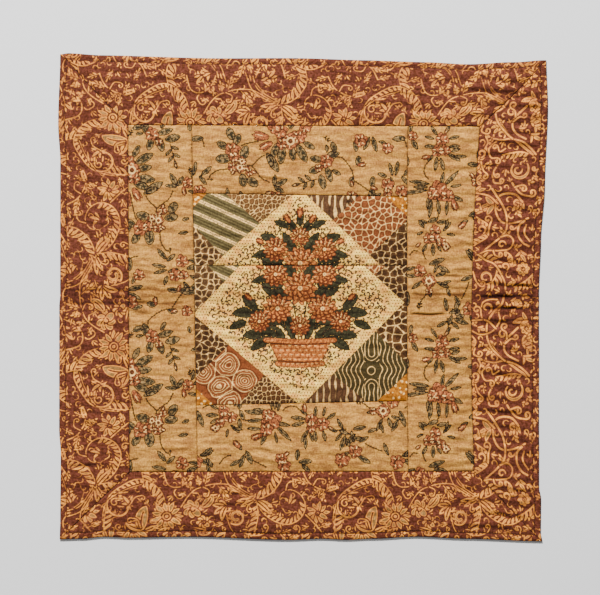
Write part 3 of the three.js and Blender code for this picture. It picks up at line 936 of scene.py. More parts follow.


# %% The two lanes, charted
# Leaves are x, y, angle, length and width. Flowers are x, y and radius.
FIRST_LANE = dict(
    stems=[[(180, 740), (210, 790), (285, 860)], [(450, 690), (410, 770), (330, 830), (285, 870)],
           [(285, 860), (285, 900), (280, 950)],
           [(320, 1090), (330, 1200), (390, 1290), (425, 1260), (420, 1320)],
           [(420, 1870), (330, 1890), (210, 1980), (190, 2060), (80, 2080)],
           [(0, 1370), (60, 1350), (110, 1340)], [(600, 1640), (520, 1740), (440, 1860)],
           [(40, 800), (60, 900), (90, 990)]],
    leaves=[(200, 120, 110, 110, 78), (235, 170, 255, 95, 70), (300, 120, 18, 130, 66),
            (300, 160, 290, 120, 76), (380, 180, 15, 120, 76), (150, 115, 185, 60, 36),
            (330, 60, 60, 80, 46), (150, 30, 200, 90, 60), (80, 410, 28, 160, 84),
            (95, 470, 8, 120, 70), (90, 560, -6, 150, 84), (60, 610, -20, 140, 72),
            (50, 350, 60, 110, 60), (165, 715, 32, 180, 84), (190, 700, 20, 90, 60),
            (490, 640, 118, 120, 56), (500, 640, 62, 90, 50), (490, 645, 175, 100, 44),
            (640, 560, 80, 90, 42), (600, 690, -12, 90, 38), (660, 600, 30, 90, 46),
            (215, 955, 165, 110, 86), (420, 900, 55, 90, 86), (375, 965, 10, 100, 82),
            (70, 1040, 150, 90, 70), (210, 1085, 275, 115, 96), (110, 1120, 235, 90, 76),
            (20, 1060, 200, 100, 80), (380, 1370, 130, 110, 50), (390, 1390, 40, 90, 44),
            (380, 1450, 170, 120, 44), (385, 1480, 195, 110, 40), (400, 1500, 15, 90, 40),
            (395, 1540, 250, 80, 44), (610, 1380, -10, 90, 44), (590, 1470, 20, 90, 50),
            (620, 1540, -20, 90, 44), (560, 1600, 300, 100, 50), (500, 1680, -8, 150, 70),
            (500, 1690, 172, 90, 56), (620, 1680, 40, 90, 50), (20, 1480, 95, 110, 60),
            (70, 1540, 250, 70, 40), (0, 1680, 15, 130, 52), (0, 1710, -25, 120, 46),
            (275, 1830, 170, 70, 60), (400, 1885, -8, 80, 56), (40, 1860, 10, 90, 50),
            (620, 90, 100, 60, 40), (610, 960, 200, 60, 40), (600, 1100, 190, 80, 40),
            (-90, 480, 170, 90, 70), (-120, 700, 240, 110, 70), (700, 240, 200, 60, 40)],
    sprouts=[(420, 215, -75, 210), (620, 520, 95, 70), (0, 150, 60, 80)],
    blooms=[(240, 120, 56), (310, 200, 34), (0, 400, 62), (60, 560, 52), (-60, 580, 60), (600, 610, 48),
            (130, 1060, 64), (205, 1040, 46), (350, 890, 36), (300, 1060, 42), (540, 1390, 54),
            (475, 1530, 54), (560, 1530, 40), (110, 1530, 48), (30, 1800, 56), (590, 1890, 46),
            (-110, 640, 60), (-100, 330, 54), (300, 930, 30)],
    cups=[(40, 480, 66), (305, 985, 44), (240, 965, 36)],
    buds=[(60, 680, 300, 130), (0, 720, 260, 150), (555, 660, 280, 80), (280, 1820, 100, 80),
          (330, 1040, 330, 60), (440, 1895, 20, 60), (340, 870, 70, 60), (520, 1640, 250, 70)],
)
SECOND_LANE = dict(
    stems=[[(270, 370), (210, 440), (205, 520), (260, 590)], [(330, 880), (345, 930), (320, 970)],
           [(190, 1280), (200, 1340), (235, 1390)], [(60, 1330), (90, 1290), (150, 1290)],
           [(577, 1770), (620, 1680), (652, 1595)], [(690, 1090), (720, 1160), (790, 1212)],
           [(740, 875), (780, 800), (815, 725)], [(240, 1700), (170, 1790), (120, 1850)],
           [(430, 1960), (440, 2030), (455, 2100)]],
    leaves=[(330, 130, 125, 90, 38), (410, 120, 60, 90, 38), (300, 170, 165, 80, 34),
            (450, 170, 15, 90, 38), (310, 250, 175, 90, 40), (450, 250, 5, 90, 40),
            (330, 350, 262, 120, 44), (365, 360, 285, 110, 44), (290, 330, 230, 70, 36),
            (440, 320, -30, 120, 44), (500, 345, 0, 110, 38), (470, 300, 20, 80, 36),
            (250, 620, 172, 170, 46), (240, 680, 188, 240, 42), (235, 650, 180, 120, 40),
            (370, 630, 78, 110, 42), (395, 640, 45, 180, 46), (460, 650, 10, 100, 32),
            (250, 740, 262, 110, 40), (275, 780, 262, 150, 46), (335, 780, 278, 120, 42),
            (430, 780, 268, 130, 38), (480, 740, -25, 100, 46), (230, 1010, 165, 70, 44),
            (240, 1000, 20, 90, 48), (330, 1010, 10, 90, 44), (200, 1060, 125, 80, 40),
            (190, 1100, 205, 60, 30), (390, 1090, 48, 100, 38), (430, 1120, -10, 70, 30),
            (415, 1060, 75, 80, 30), (230, 1220, 240, 80, 40), (290, 1220, 270, 100, 44),
            (325, 1215, 300, 80, 34), (250, 1425, 20, 140, 56), (340, 1440, -30, 110, 50),
            (110, 1450, 200, 100, 40), (150, 1540, 178, 120, 42), (180, 1590, 218, 110, 40),
            (320, 1540, 20, 90, 44), (330, 1600, -25, 110, 44), (300, 1510, 70, 80, 36),
            (370, 1620, 18, 90, 36), (250, 1660, 280, 80, 40), (700, 1400, 112, 120, 56),
            (740, 1400, 72, 120, 50), (720, 1330, 30, 90, 40), (650, 940, 25, 120, 56),
            (690, 960, -20, 110, 50), (640, 985, 205, 70, 40), (740, 1000, 300, 100, 44),
            (760, 410, 95, 110, 56), (790, 380, 50, 90, 46), (740, 430, 175, 90, 48),
            (590, 1960, 140, 120, 52), (640, 2020, 160, 130, 52), (700, 1840, 60, 120, 52),
            (560, 1880, 195, 100, 40), (660, 1930, 300, 90, 44), (430, 1890, 100, 110, 46),
            (515, 1890, 78, 100, 48), (430, 1990, 210, 100, 40), (460, 1745, 110, 80, 38),
            (470, 2000, 320, 90, 36), (520, 1960, 20, 80, 36), (690, 1540, 200, 110, 44),
            (700, 1380, 130, 110, 44), (790, 1330, 20, 90, 40), (480, 1930, 250, 90, 40),
            (560, 1830, 120, 90, 40), (60, 100, 80, 80, 44), (80, 180, 300, 90, 50),
            (40, 440, 100, 100, 44), (40, 1840, 90, 120, 40)],
    sprouts=[(150, 1880, 80, 90)],
    blooms=[(380, 175, 56), (335, 290, 50), (410, 285, 46), (345, 690, 84), (435, 735, 56),
            (310, 1085, 48), (245, 1165, 46), (315, 1160, 44), (375, 1200, 40), (160, 1490, 52),
            (730, 590, 50), (795, 560, 56), (740, 2000, 62), (652, 1870, 56), (760, 1450, 62),
            (250, 1690, 34), (90, 140, 40), (290, 720, 50)],
    cups=[(250, 1590, 56), (420, 1245, 36)],
    buds=[(250, 345, 195, 80), (490, 790, 290, 110), (610, 1010, 220, 90), (160, 1215, 220, 60),
          (410, 110, 60, 50), (390, 1220, 300, 90), (700, 560, 130, 70)],
)


LANE_WIDTH, LANE_LENGTH = 1200, 2020  # squares
LANE_MARGIN = 200  # squares left of the strip's own edge, which the turned strips show


def lane_plates(chart):
    """The plates of one lane, with its chart moved right by the margin."""
    moved = {kind: [(row[0] + LANE_MARGIN, *row[1:]) for row in rows]
             for kind, rows in chart.items() if kind != "stems"}
    moved["stems"] = [[(x + LANE_MARGIN, y) for x, y in through] for through in chart["stems"]]
    plates = Floral(LANE_WIDTH, LANE_LENGTH)
    plates.draw(moved)
    return plates


FLORAL = dict(first=lane_plates(FIRST_LANE), second=lane_plates(SECOND_LANE))
print("leaves cover these shares of the lanes:", *(share_inked(plates.leaf) for plates in FLORAL.values()))

# %% Which part of the lanes each strip shows
PHOTO_MIDDLE = (303.25, 296.75)  # the pixel that shows the middle of the plan
# For each strip its lane, a square of the whole photograph, and the square of the lane seen there.
FLORAL_CUTS = dict(
    left=("first", (1280, 1220), (0, 0)),
    right=("second", (4040, 1220), (0, 0)),
    top=("first", (2525, 1657), (285, 860)),
    bottom=("second", (2700, 4190), (330, 700)),
)


def on_chart(x, y):
    """A place on the quilt in squares over the whole photograph: right, and down."""
    px, py = x / PHOTO_SCALE + PHOTO_MIDDLE[0], PHOTO_MIDDLE[1] - y / PHOTO_SCALE
    return px * SQUARES_A_PIXEL, py * SQUARES_A_PIXEL


def floral_place(strip, x, y):
    """Which lane a strip shows, and where on it a place of the quilt lies, in millimetres."""
    across, down = on_chart(x, y)
    lane, (photo_x, photo_y), (lane_x, lane_y) = FLORAL_CUTS[strip]
    if strip in ("left", "right"):
        u, v = lane_x + across - photo_x, lane_y + down - photo_y
    else:
        u, v = lane_x + down - photo_y, lane_y - (across - photo_x)
    return lane, (u + LANE_MARGIN) * SQUARE, v * SQUARE


_, across_lane, down_lane = floral_place("left", -265, 0)
print("the middle of the left strip shows its lane at", round(across_lane), round(down_lane), "mm")

# %% [markdown]
# ## The printed centre
#
# The middle is a printed panel that imitates patchwork: a cream diamond among corner patches of
# stripes, crackle, pebbles, spots, bars and contour lines. It was joined from two lengths, so the
# upper piece repeats a band of what the lower one shows. Straight patch edges are distances to
# lines. The small patterns are worked out from scattered cells, rings and waves.

# %% Patch lines
REPEAT_SHIFT = 46.8  # how much higher the upper piece shows the same print
CORNERS_MEET = (-6.0, -22.0)  # where one corner's patches end and those of the next begin


def seen(px, py):
    """A place measured in the photograph, in its pixels, as millimetres on the quilt."""
    return (px - PHOTO_MIDDLE[0]) * PHOTO_SCALE, (PHOTO_MIDDLE[1] - py) * PHOTO_SCALE


def inside_lines(lines, x, y):
    """Millimetres inside the lines, which run anticlockwise round a patch."""
    return np.minimum.reduce([Side(seen(*start), seen(*end)).distance(x, y) for start, end in lines])


DIAMOND = dict(
    lower=[((301, 406), (404.5, 302.5)), ((404.5, 302.5), (364, 265.5)), ((240, 265.5), (193, 314.5)),
           ((193, 314.5), (301, 406))],
    upper=[((380.6, 265.5), (304.5, 193)), ((304.5, 190), (294, 190)), ((295.5, 192), (212, 265.5))],
)
ORANGE_CORNERS = dict(
    lower=[[((215, 406), (196.4, 389.1))], [((405.9, 374.5), (379.4, 399.2))]],
    upper=[[((191.9, 208.8), (207.1, 193))], [((387.3, 197.6), (407, 216.1))]],
)
# The broad patch that runs into each corner lies between two lines. Beyond the first is crackle,
# beyond the second a triangle of spots or bars.
BROAD_PATCHES = dict(
    lower=dict(
        bottom_left=[((225.1, 348.6), (196.4, 376.7)), ((237.5, 406), (261.1, 378.4))],
        bottom_right=[((405.9, 362.1), (376, 331.7)), ((334.4, 375.6), (363.7, 399.2))],
        top_left=[((192, 249), (221, 279.4)), ((257.7, 246.7), (224.6, 218))],
        top_right=[((371.5, 278.2), (406.4, 245.6)), ((359.2, 220.9), (334.4, 243.9))]),
    upper=dict(
        top_left=[((192, 224), (221.2, 254.4)), ((257.7, 221.7), (224.6, 193))],
        top_right=[((371.5, 253.2), (406.4, 220.6)), ((359.2, 195.9), (334.4, 218.9))]),
)
for piece, patches in BROAD_PATCHES.items():
    print("the", piece, "piece shows the broad patches", ", ".join(patches))


# %% Small patterns
def cells(x, y, size, seed, squared=False):
    """Scattered cells: the distance to the nearest cell's middle, and half the way to its border."""
    jitter = np.random.default_rng(seed).uniform(0.08, 0.92, (64, 64, 2))
    column, row = np.floor(x / size).astype(int), np.floor(y / size).astype(int)
    near = np.full_like(x, 1e3)
    second = np.full_like(x, 1e3)
    for dr in (-1, 0, 1):
        for dc in (-1, 0, 1):
            spot = jitter[(row + dr) % 64, (column + dc) % 64]
            dx, dy = abs(x - (column + dc + spot[..., 0]) * size), abs(y - (row + dr + spot[..., 1]) * size)
            far = np.maximum(dx, dy) + 0.25 * np.minimum(dx, dy) if squared else np.hypot(dx, dy)
            second = np.minimum(second, np.maximum(near, far))
            near = np.minimum(near, far)
    return near, (second - near) / 2


# Each pattern gives two fields in millimetres, above zero where its pale and its dark colour print.
def leopard(x, y):
    _, border = cells(x, y, 8.4, 3)
    return 0.32 - border, 0.8 - abs(border - 1.4)


def crackle(x, y, size, seed, squared=True, width=0.32):
    near, border = cells(x + 1.2 * soft_noise(x, y, 5, 5, 3), y, size, seed, squared)
    return width - border, 1.6 - abs(near - size * 0.2)


def pebbles(x, y):
    _, border = cells(x, y, 11.0, 21)
    return 0.42 - border, 0.5 - abs(border - 2.2)


def bars(x, y):
    wander = x + 2.6 * soft_noise(x, y, 9, 16, 6)
    wave = np.sin(2 * math.pi * wander / 11.5) - 0.55 + 0.95 * soft_noise(x, y, 6, 11, 9)
    return np.minimum(0.9 * wave - 0.2, 0.12), 0.8 - abs(wave + 0.5) * 3


def stripes(x, y):
    lean, pitch = math.radians(24), 23
    across = (x * math.sin(lean) + y * math.cos(lean) - 42) % pitch
    across = np.minimum(across, pitch - across)
    near, _ = cells(x, y, 4.0, 14)
    dotted = np.minimum(1.1 - abs(across - 1.9), near - 0.9)
    return dotted, 1.6 - abs(across - 8.8)


RING_MIDDLES = [(227.4, 364.4), (220.5, 387.4), (244.8, 380.7), (203.5, 372.2), (229, 401.5), (214, 350)]


def rings(x, y):
    """Rounded stones with rings inside, like sliced agate."""
    sway = 1.2 * soft_noise(x, y, 9, 9, 4)
    distances = [np.hypot((x - mx) * 0.95, y - my) for mx, my in (seen(*m) for m in RING_MIDDLES)]
    near, second = np.sort(distances, 0)[:2]
    level = np.minimum((second - near) / 2, 22.0 - near) + sway
    ring = 0.45 - abs((level - 1.1) % 4.0 - 2.0)
    return np.maximum(0.55 - abs(level - 1.2), np.where(level > 3.4, ring, -1)), 0.9 - abs(level + 1.6)


def contours(x, y):
    """Wavy lines that part round a knot, and arches above and below it."""
    mx, my = seen(371.5, 370)
    dx, dy = abs(x - mx), abs(y - my)
    sway = 1.6 * soft_noise(x, y, 14, 12, 5)
    wave = (dx - 8.0 * np.exp(-((dy / 13) ** 2)) - 5.0 * np.exp(-(((dy - 42) / 12) ** 2)) + sway) % 8.4 - 4.2
    arch = np.hypot(dx, np.maximum(30 - dy, 0)) + sway
    knot = np.where(dy < 15, 0.5 - abs(np.hypot(dx, dy) + sway - 7.5), 0.5 - abs((arch - 1) % 7 - 3.5))
    return np.where(dx > 14, 0.6 - abs(wave), knot + 0.1), -np.ones_like(x)


def florets(x, y):
    """Small pale flowers for the orange corners: their pale field alone."""
    near, _ = cells(x, y, 11.0, 31)
    return 2.2 - near + 1.2 * soft_noise(x, y, 3, 3, 7)


# %% The wormy ground of the diamond
HOOKS_REPEAT = 160.0


def hooks_plate(tries, seed):
    """Small curled hooks set wherever a try finds room, as close as an engraver's vermicelli."""
    plate = Plate(HOOKS_REPEAT, HOOKS_REPEAT)
    chance = np.random.default_rng(seed)
    least, most = (0, 0, 0, 2.4, 0.3), (HOOKS_REPEAT, HOOKS_REPEAT, 360, 4.6, 0.85)
    for x, y, angle, size, turns in chance.uniform(least, most, (tries, 5)):
        hook = spiral(x, y, size, size * 0.5, angle, turns, 1.0)
        if plate.at(*hook.T).max() < -1.3:
            plate.stroke(hook, taper(len(hook), 1.0, 1.35, 0.8))
    return plate


HOOKS = hooks_plate(tries=9000, seed=41)
print("hooks cover this share of the diamond's ground:", share_inked(HOOKS))

# %% A posy basket for the diamond
POSY_LEAVES = [
    (-34, -66, 150, 46, 24), (34, -66, 30, 46, 24), (-50, -62, 176, 56, 24), (50, -62, 4, 56, 24),
    (-58, -70, 205, 40, 18), (58, -70, -25, 40, 18), (-20, -50, 122, 50, 24), (22, -50, 58, 50, 24),
    (-40, -38, 160, 70, 26), (40, -38, 20, 70, 26), (-86, -22, 175, 40, 20), (86, -22, 5, 40, 20),
    (-84, -14, 128, 34, 18), (84, -14, 52, 34, 18), (-22, 4, 150, 52, 24), (24, 4, 30, 52, 24),
    (-36, 30, 165, 44, 20), (38, 30, 15, 44, 20), (-10, 40, 112, 46, 20), (12, 40, 68, 46, 20),
    (-40, 62, 150, 36, 18), (42, 62, 30, 36, 18), (-8, 84, 128, 34, 17), (8, 84, 52, 34, 17),
    (0, 98, 90, 26, 14), (-24, 92, 150, 26, 13), (24, 92, 30, 26, 13), (-60, 44, 190, 30, 14),
    (60, 44, -10, 30, 14), (-14, -66, 100, 44, 18), (14, -66, 80, 44, 18), (-104, -40, 196, 30, 15),
    (104, -40, -16, 30, 15),
]
POSY_BLOOMS = [(-76, -38, 20), (76, -38, 20), (0, -46, 19), (-42, -14, 27), (42, -14, 27), (0, 24, 31),
               (-46, 50, 23), (46, 50, 23), (0, 74, 18)]
POSY_BUDS = [(0, 112, 90, 18), (-20, 102, 124, 16), (20, 102, 56, 16), (-70, 62, 150, 15), (70, 62, 30, 15),
             (-92, 4, 140, 15), (92, 4, 40, 15)]
CENTRE_OF_POSY = (-6.0, -8.0)  # on the quilt
POSY_PLATE, POSY_MIDDLE = 420, (210.0, 250.0)  # the plate's side, and the posy's middle on it


class Posy(Floral):
    """The centre's plates. Its chart is in millimetres from the middle of the posy, upwards."""

    def __init__(self):
        super().__init__(POSY_PLATE, POSY_PLATE, unit=1.0, repeats=False)
        self.middle = np.array(POSY_MIDDLE)

    def lay_leaf(self, x, y, angle, length, width):
        bend = 14 if x < 0 else -14
        line, half = blade(*(self.middle + (x, y)), angle, length, width, bend, tip=0.16)
        self.leaf.lay(line, half, rim=1.0)
        rib_end = int(len(line) * 0.8)
        self.line.stroke(line[:rib_end], 0.4)
        for i in range(3, rib_end, 3):
            run = line[i] - line[i - 1]
            for side in (-1, 1):
                vein = np.array([run[0] - side * run[1], run[1] + side * run[0]]) * 1.6
                self.line.stroke([line[i], line[i] + vein], [0.3, 0.2])

    def lay_dahlia(self, x, y, radius):
        """A round flower with three rings of pointed petals."""
        heart = self.middle + (x, y)
        for ring, (count, reach, width) in enumerate(((13, 1.0, 0.5), (11, 0.74, 0.42), (8, 0.48, 0.34))):
            for k in range(count):
                angle = 360 * (k + ring / 2) / count
                base = heart + heading(angle, radius * 0.1)
                line, half = blade(*base, angle, radius * reach * 0.92, radius * width, tip=0.2)
                self.bloom.lay(line, half, rim=0.7)
                if 20 < (angle + 20 * ring) % 360 < 200:
                    self.light.stroke([base + heading(angle + 4, radius * reach * 0.5),
                                       base + heading(angle + 2, radius * reach * 0.8)], [0.55, 0.3])
        self.light.dot(*heart, radius * 0.14)
        self.line.dot(*heart, radius * 0.06)

    def lay_bud(self, x, y, angle, length):
        base = self.middle + (x, y)
        for turn, share in ((18, 0.9), (-18, 0.9), (0, 1.0)):
            line, half = blade(*base, angle + turn, length * share, length * 0.42, tip=0.3)
            self.bloom.lay(line, half, rim=0.7)
        for turn in (-40, 40):
            line, half = blade(*base, angle + turn, length * 0.6, length * 0.26)
            self.leaf.lay(line, half, rim=0.7)
        self.line.stroke([base, base - heading(angle, length)], 0.7)

    def lay_basket(self):
        """A low woven basket: a solid body, a rolled rim and a foot, with the weave drawn on it."""
        x0, y0 = self.middle
        for row in range(9):
            reach = 53 - 1.9 * row
            level = np.array([(x0 - reach, y0 - 80 - 4 * row), (x0 + reach, y0 - 80 - 4 * row)])
            self.bloom.stroke(level, 3.4)
        for row in range(5):
            reach = 55 - 3.6 * row
            y = y0 - 80 - 8.4 * row
            self.line.stroke([(x0 - reach, y), (x0 + reach, y)], 0.8)
            for k in range(-4, 5):
                x = x0 + (k + row % 2 / 2) * reach / 4.5
                self.line.stroke([(x, y), (x, y - 7)], 0.8)
                self.light.stroke([(x + 3, y - 3.6), (x + 7, y - 3.6)], 0.7)
        for y, reach in ((-74, 64), (-118, 42)):
            rim = curve([(x0 - reach, y0 + y + 1), (x0, y0 + y - 2), (x0 + reach, y0 + y + 1)])
            self.bloom.lay(rim, np.full(len(rim), 4.8), rim=1.2)
            for x, yy in rim[::5]:
                self.line.stroke([(x - 1.6, yy - 3), (x + 1.6, yy + 3)], 0.7)

    def draw_all(self):
        for x in (-24, -8, 8, 24):
            stem = np.array([(x / 3, -72), (x, -30), (2 * x, 20)])
            self.line.stroke(curve(self.middle + stem), 1.0)
        self.lay_basket()
        for row in POSY_LEAVES:
            self.lay_leaf(*row)
        for row in POSY_BUDS:
            self.lay_bud(*row)
        for row in POSY_BLOOMS:
            self.lay_dahlia(*row)
        return self


POSY = Posy().draw_all()
print("shares of the posy's plates, leaf and flower:", share_inked(POSY.leaf), share_inked(POSY.bloom))


# %% What the centre's mesh carries
# The dyes of each corner: its broad patch, its crackle and its triangle.
CORNER_DYES = dict(
    top_left=((100, 88, 52), (96, 66, 36), (118, 80, 42)),
    top_right=((128, 70, 34), (78, 50, 24), (84, 55, 32)),
    bottom_left=((126, 66, 31), (78, 50, 24), (95, 60, 30)),
    bottom_right=((64, 52, 25), (84, 54, 26), (84, 55, 32)),
)
CORNER_PATTERNS = dict(
    top_left=(stripes, lambda x, y: crackle(x, y, 12.0, 8, False, 0.45), leopard),
    top_right=(pebbles, lambda x, y: crackle(x, y, 12.5, 12), bars),
    bottom_left=(rings, lambda x, y: crackle(x, y, 12.0, 17), leopard),
    bottom_right=(contours, lambda x, y: crackle(x, y, 14.0, 23, False, 0.55), bars),
)


DOT_PITCH, DOT_RADIUS = 5.4, 1.15  # the dots along the diamond's edge
DOTTED_EDGE = 15.0  # how far in from the edge they reach
FLORAL_PLATES = ("leaf", "bloom", "light", "line")


def corner_layers(piece, x, y, drawn_y):
    """The patches round the diamond: their fields, and the dyes of their grounds."""
    broad, pale, dark = (np.full_like(x, BARE) for _ in range(3))
    broad_dye, edge_dye = np.zeros((len(x), 3)), np.zeros((len(x), 3))
    for corner, (first, second) in BROAD_PATCHES[piece].items():
        here = (x < CORNERS_MEET[0]) == corner.endswith("left")
        if piece == "lower":
            here &= (y < CORNERS_MEET[1]) == corner.startswith("bottom")
        from_crackle, from_triangle = inside_lines([first], x, y), inside_lines([second], x, y)
        inside = np.minimum(from_crackle, from_triangle)
        broad[here] = inside[here]
        crackle_side = from_crackle < from_triangle
        places = inside > 0, (inside <= 0) & crackle_side, (inside <= 0) & ~crackle_side
        for place, pattern in zip(places, CORNER_PATTERNS[corner]):
            spot = here & place
            pale[spot], dark[spot] = pattern(x[spot], drawn_y[spot])
        broad_dye[here], edge_dye[here & crackle_side], edge_dye[here & ~crackle_side] = CORNER_DYES[corner]
    return dict(broad=broad, pale=pale, dark=dark), broad_dye, edge_dye


def diamond_ground(px, py, inside, x, y, drawn_y):
    """Hooks in the middle of the diamond, and rows of dots along its edge."""
    half = DOT_PITCH / 2
    every_other_row = half * (np.floor(py / DOT_PITCH) % 2)
    dots = DOT_RADIUS - np.hypot((px + every_other_row) % DOT_PITCH - half, py % DOT_PITCH - half)
    uneven = 4 * soft_noise(x, y, 14, 14, 33)
    return np.where(inside > DOTTED_EDGE + uneven, HOOKS.at(x, drawn_y), dots)


def centre_layers(piece, x, y):
    """The fields and dyes of the printed centre at places of its upper or lower piece."""
    drawn_y = y - (REPEAT_SHIFT if piece == "upper" else 0.0)  # the same print, a repeat higher up
    layers, broad_dye, edge_dye = corner_layers(piece, x, y, drawn_y)
    diamond = inside_lines(DIAMOND[piece], x, y)
    orange = np.maximum.reduce([inside_lines(lines, x, y) for lines in ORANGE_CORNERS[piece]])
    layers.update(diamond=diamond, orange=orange)
    layers["pale"] = np.where(orange > 0, florets(x, drawn_y), layers["pale"])
    px, py = x - CENTRE_OF_POSY[0] + POSY_MIDDLE[0], drawn_y - CENTRE_OF_POSY[1] + POSY_MIDDLE[1]
    low, high = 1, POSY_PLATE - 2
    on_plate = (px > low) & (px < high) & (py > low) & (py < high)
    for name in FLORAL_PLATES:
        field = getattr(POSY, name).at(np.clip(px, low, high), np.clip(py, low, high))
        layers[name] = np.where(on_plate & (diamond > 0), field, BARE)
    layers["squiggle"] = diamond_ground(px, py, diamond, x, y, drawn_y)
    return layers, broad_dye, edge_dye


# %% [markdown]
# ## Cloth materials
#
# Printed cotton is matt, a little fuzzy and never one flat colour: the dye is uneven, threads swell
# and thin, stains spread faintly, and painted shade darkens creases and seams. A small class lets a
# mask be used in plain sums, so `1 - mask` adds its own Math node, and one method makes every other
# node. Colours are written as the eye reads them, from 0 to 255, and changed to linear light once.

# %% Dyes, and sums on sockets
def linear_light(seen_values):
    """Values from 0 to 255 as read by eye, in the linear light that the shader wants."""
    values = np.asarray(seen_values, float)
    return np.where(values > 10, ((values / 255 + 0.055) / 1.055) ** 2.4, values / 255 / 12.92)


def dye(red, green, blue):
    return (*linear_light((red, green, blue)), 1.0)


class Amount:
    """A number that varies over the cloth. A sum on it adds a Math node."""

    def __init__(self, cloth, socket):
        self.cloth, self.socket = cloth, socket

    def sum(self, operation, first, second):
        return self.cloth.node("ShaderNodeMath", dict(operation=operation), {0: first, 1: second})

    def __add__(self, other):
        return self.sum("ADD", self, other)

    def __radd__(self, other):
        return self.sum("ADD", other, self)

    def __sub__(self, other):
        return self.sum("SUBTRACT", self, other)

    def __rsub__(self, other):
        return self.sum("SUBTRACT", other, self)

    def __mul__(self, other):
        return self.sum("MULTIPLY", self, other)

    def __rmul__(self, other):
        return self.sum("MULTIPLY", other, self)

    def __truediv__(self, other):
        return self.sum("DIVIDE", self, other)

    def __abs__(self):
        return self.cloth.node("ShaderNodeMath", dict(operation="ABSOLUTE"), {0: self})

    def clip(self):
        """The amount held between 0 and 1."""
        return self.cloth.node("ShaderNodeMath", dict(operation="ADD", use_clamp=True), {0: self, 1: 0.0})


# %% A cloth and its nodes
class Cloth:
    """A material whose patterns follow the cloth's own plan coordinates."""

    def __init__(self, name):
        self.material = bpy.data.materials.new(name)
        self.material.use_nodes = True
        self.tree = self.material.node_tree
        self.shader = self.tree.nodes["Principled BSDF"]
        self.plan = self.node("ShaderNodeUVMap", dict(uv_map="cloth"))

    def node(self, kind, settings=None, values=None, out=0):
        """Adds a node, with its settings and what goes into it, and gives one of its outputs."""
        made = self.tree.nodes.new(kind)
        for key, value in (settings or {}).items():
            setattr(made, key, value)
        for key, value in (values or {}).items():
            self.feed(made.inputs[key], value)
        return Amount(self, made.outputs[out])

    def feed(self, socket, value):
        if isinstance(value, Amount):
            self.tree.links.new(value.socket, socket)
        else:
            socket.default_value = value

    def layer(self, name):
        """A field kept on the mesh's points, in millimetres or as a share."""
        return self.node("ShaderNodeAttribute", dict(attribute_name=name), out=2)

    def colour_layer(self, name):
        """A dye kept on the mesh's points."""
        return self.node("ShaderNodeAttribute", dict(attribute_name=name), out=0)

    def inked(self, name, spread=0.7, offset=0.0):
        """1 where a plate's field prints, 0 elsewhere, with an edge as soft as dye in cotton."""
        return ((self.layer(name) + offset) / spread + 0.5).clip()

    def blend(self, mask, low, high):
        """One colour where the mask is 0, the other where it is 1."""
        settings = dict(data_type="RGBA", clamp_factor=True)
        return self.node("ShaderNodeMix", settings, {0: mask, 6: low, 7: high}, out=2)

    def shade(self, mask, colour, tint):
        """The colour multiplied by a tint as far as the mask says."""
        settings = dict(data_type="RGBA", blend_type="MULTIPLY", clamp_factor=True)
        return self.node("ShaderNodeMix", settings, {0: mask, 6: colour, 7: tint}, out=2)

    def stretched(self, across, up):
        """Plan coordinates scaled so that one unit is so many millimetres across and up."""
        scale = (1 / (across * MM), 1 / (up * MM), 1.0)
        return self.node("ShaderNodeMapping", dict(vector_type="POINT"),
                         {"Vector": self.plan, "Scale": scale})

    def noise(self, across, up, detail=2.0):
        """Clouds about 0.5, each so many millimetres across and up."""
        values = {"Vector": self.stretched(across, up), "Scale": 1.0, "Detail": detail, "Roughness": 0.5}
        return self.node("ShaderNodeTexNoise", dict(noise_dimensions="2D"), values)

    def patchy(self, across, up, low, high):
        """A mask from noise: 0 below low, 1 above high."""
        return ((self.noise(across, up) - low) / (high - low)).clip()

    def finish(self, colour, roughness=0.9, sheen=0.03):
        """Sets the surface: matt, with the faint sheen of cotton fuzz."""
        values = {"Base Color": colour, "Roughness": roughness, "Specular IOR Level": 0.1,
                  "Sheen Weight": sheen, "Sheen Roughness": 0.5}
        for name, value in values.items():
            self.feed(self.shader.inputs[name], value)
        print(self.material.name, "has", len(self.tree.nodes), "nodes")
        return self.material


# %% Threads, age and painted shade, the same for every print
def worn_and_shaded(cloth, colour):
    """Adds thread slubs, faint stains and painted shade in the creases and seam grooves to a printed colour.
    """
    weft, warp = cloth.noise(9, 2.1, 1.0), cloth.noise(2.1, 7, 1.0)
    threads = ((weft + warp) / 2 - 0.36) / 0.28
    colour = cloth.shade(threads.clip() * 0.8, colour, dye(196, 190, 182))
    colour = cloth.shade(cloth.patchy(95, 60, 0.44, 0.66) * 0.3, colour, dye(214, 198, 180))
    # painted shade: the colour darkened in creases and along the seams and the hem's groove
    return cloth.shade(cloth.layer("valley_shade") * 0.85, colour, dye(120, 96, 84))


def woven(cloth):
    """A plain weave's bump: two sets of threads, over and under."""
    threads = [cloth.node("ShaderNodeTexWave", dict(wave_type="BANDS", bands_direction=way),
                          {"Vector": cloth.stretched(3.4, 3.4), "Scale": 1.0, "Distortion": 0.4})
               for way in ("X", "Y")]
    slubs = cloth.noise(7, 1.1) + cloth.noise(1.1, 7)
    height = (threads[0] + threads[1]) * 0.18 + slubs
    values = {"Strength": 0.35, "Distance": 0.6 * MM, "Height": height}
    cloth.feed(cloth.shader.inputs["Normal"], cloth.node("ShaderNodeBump", values=values))


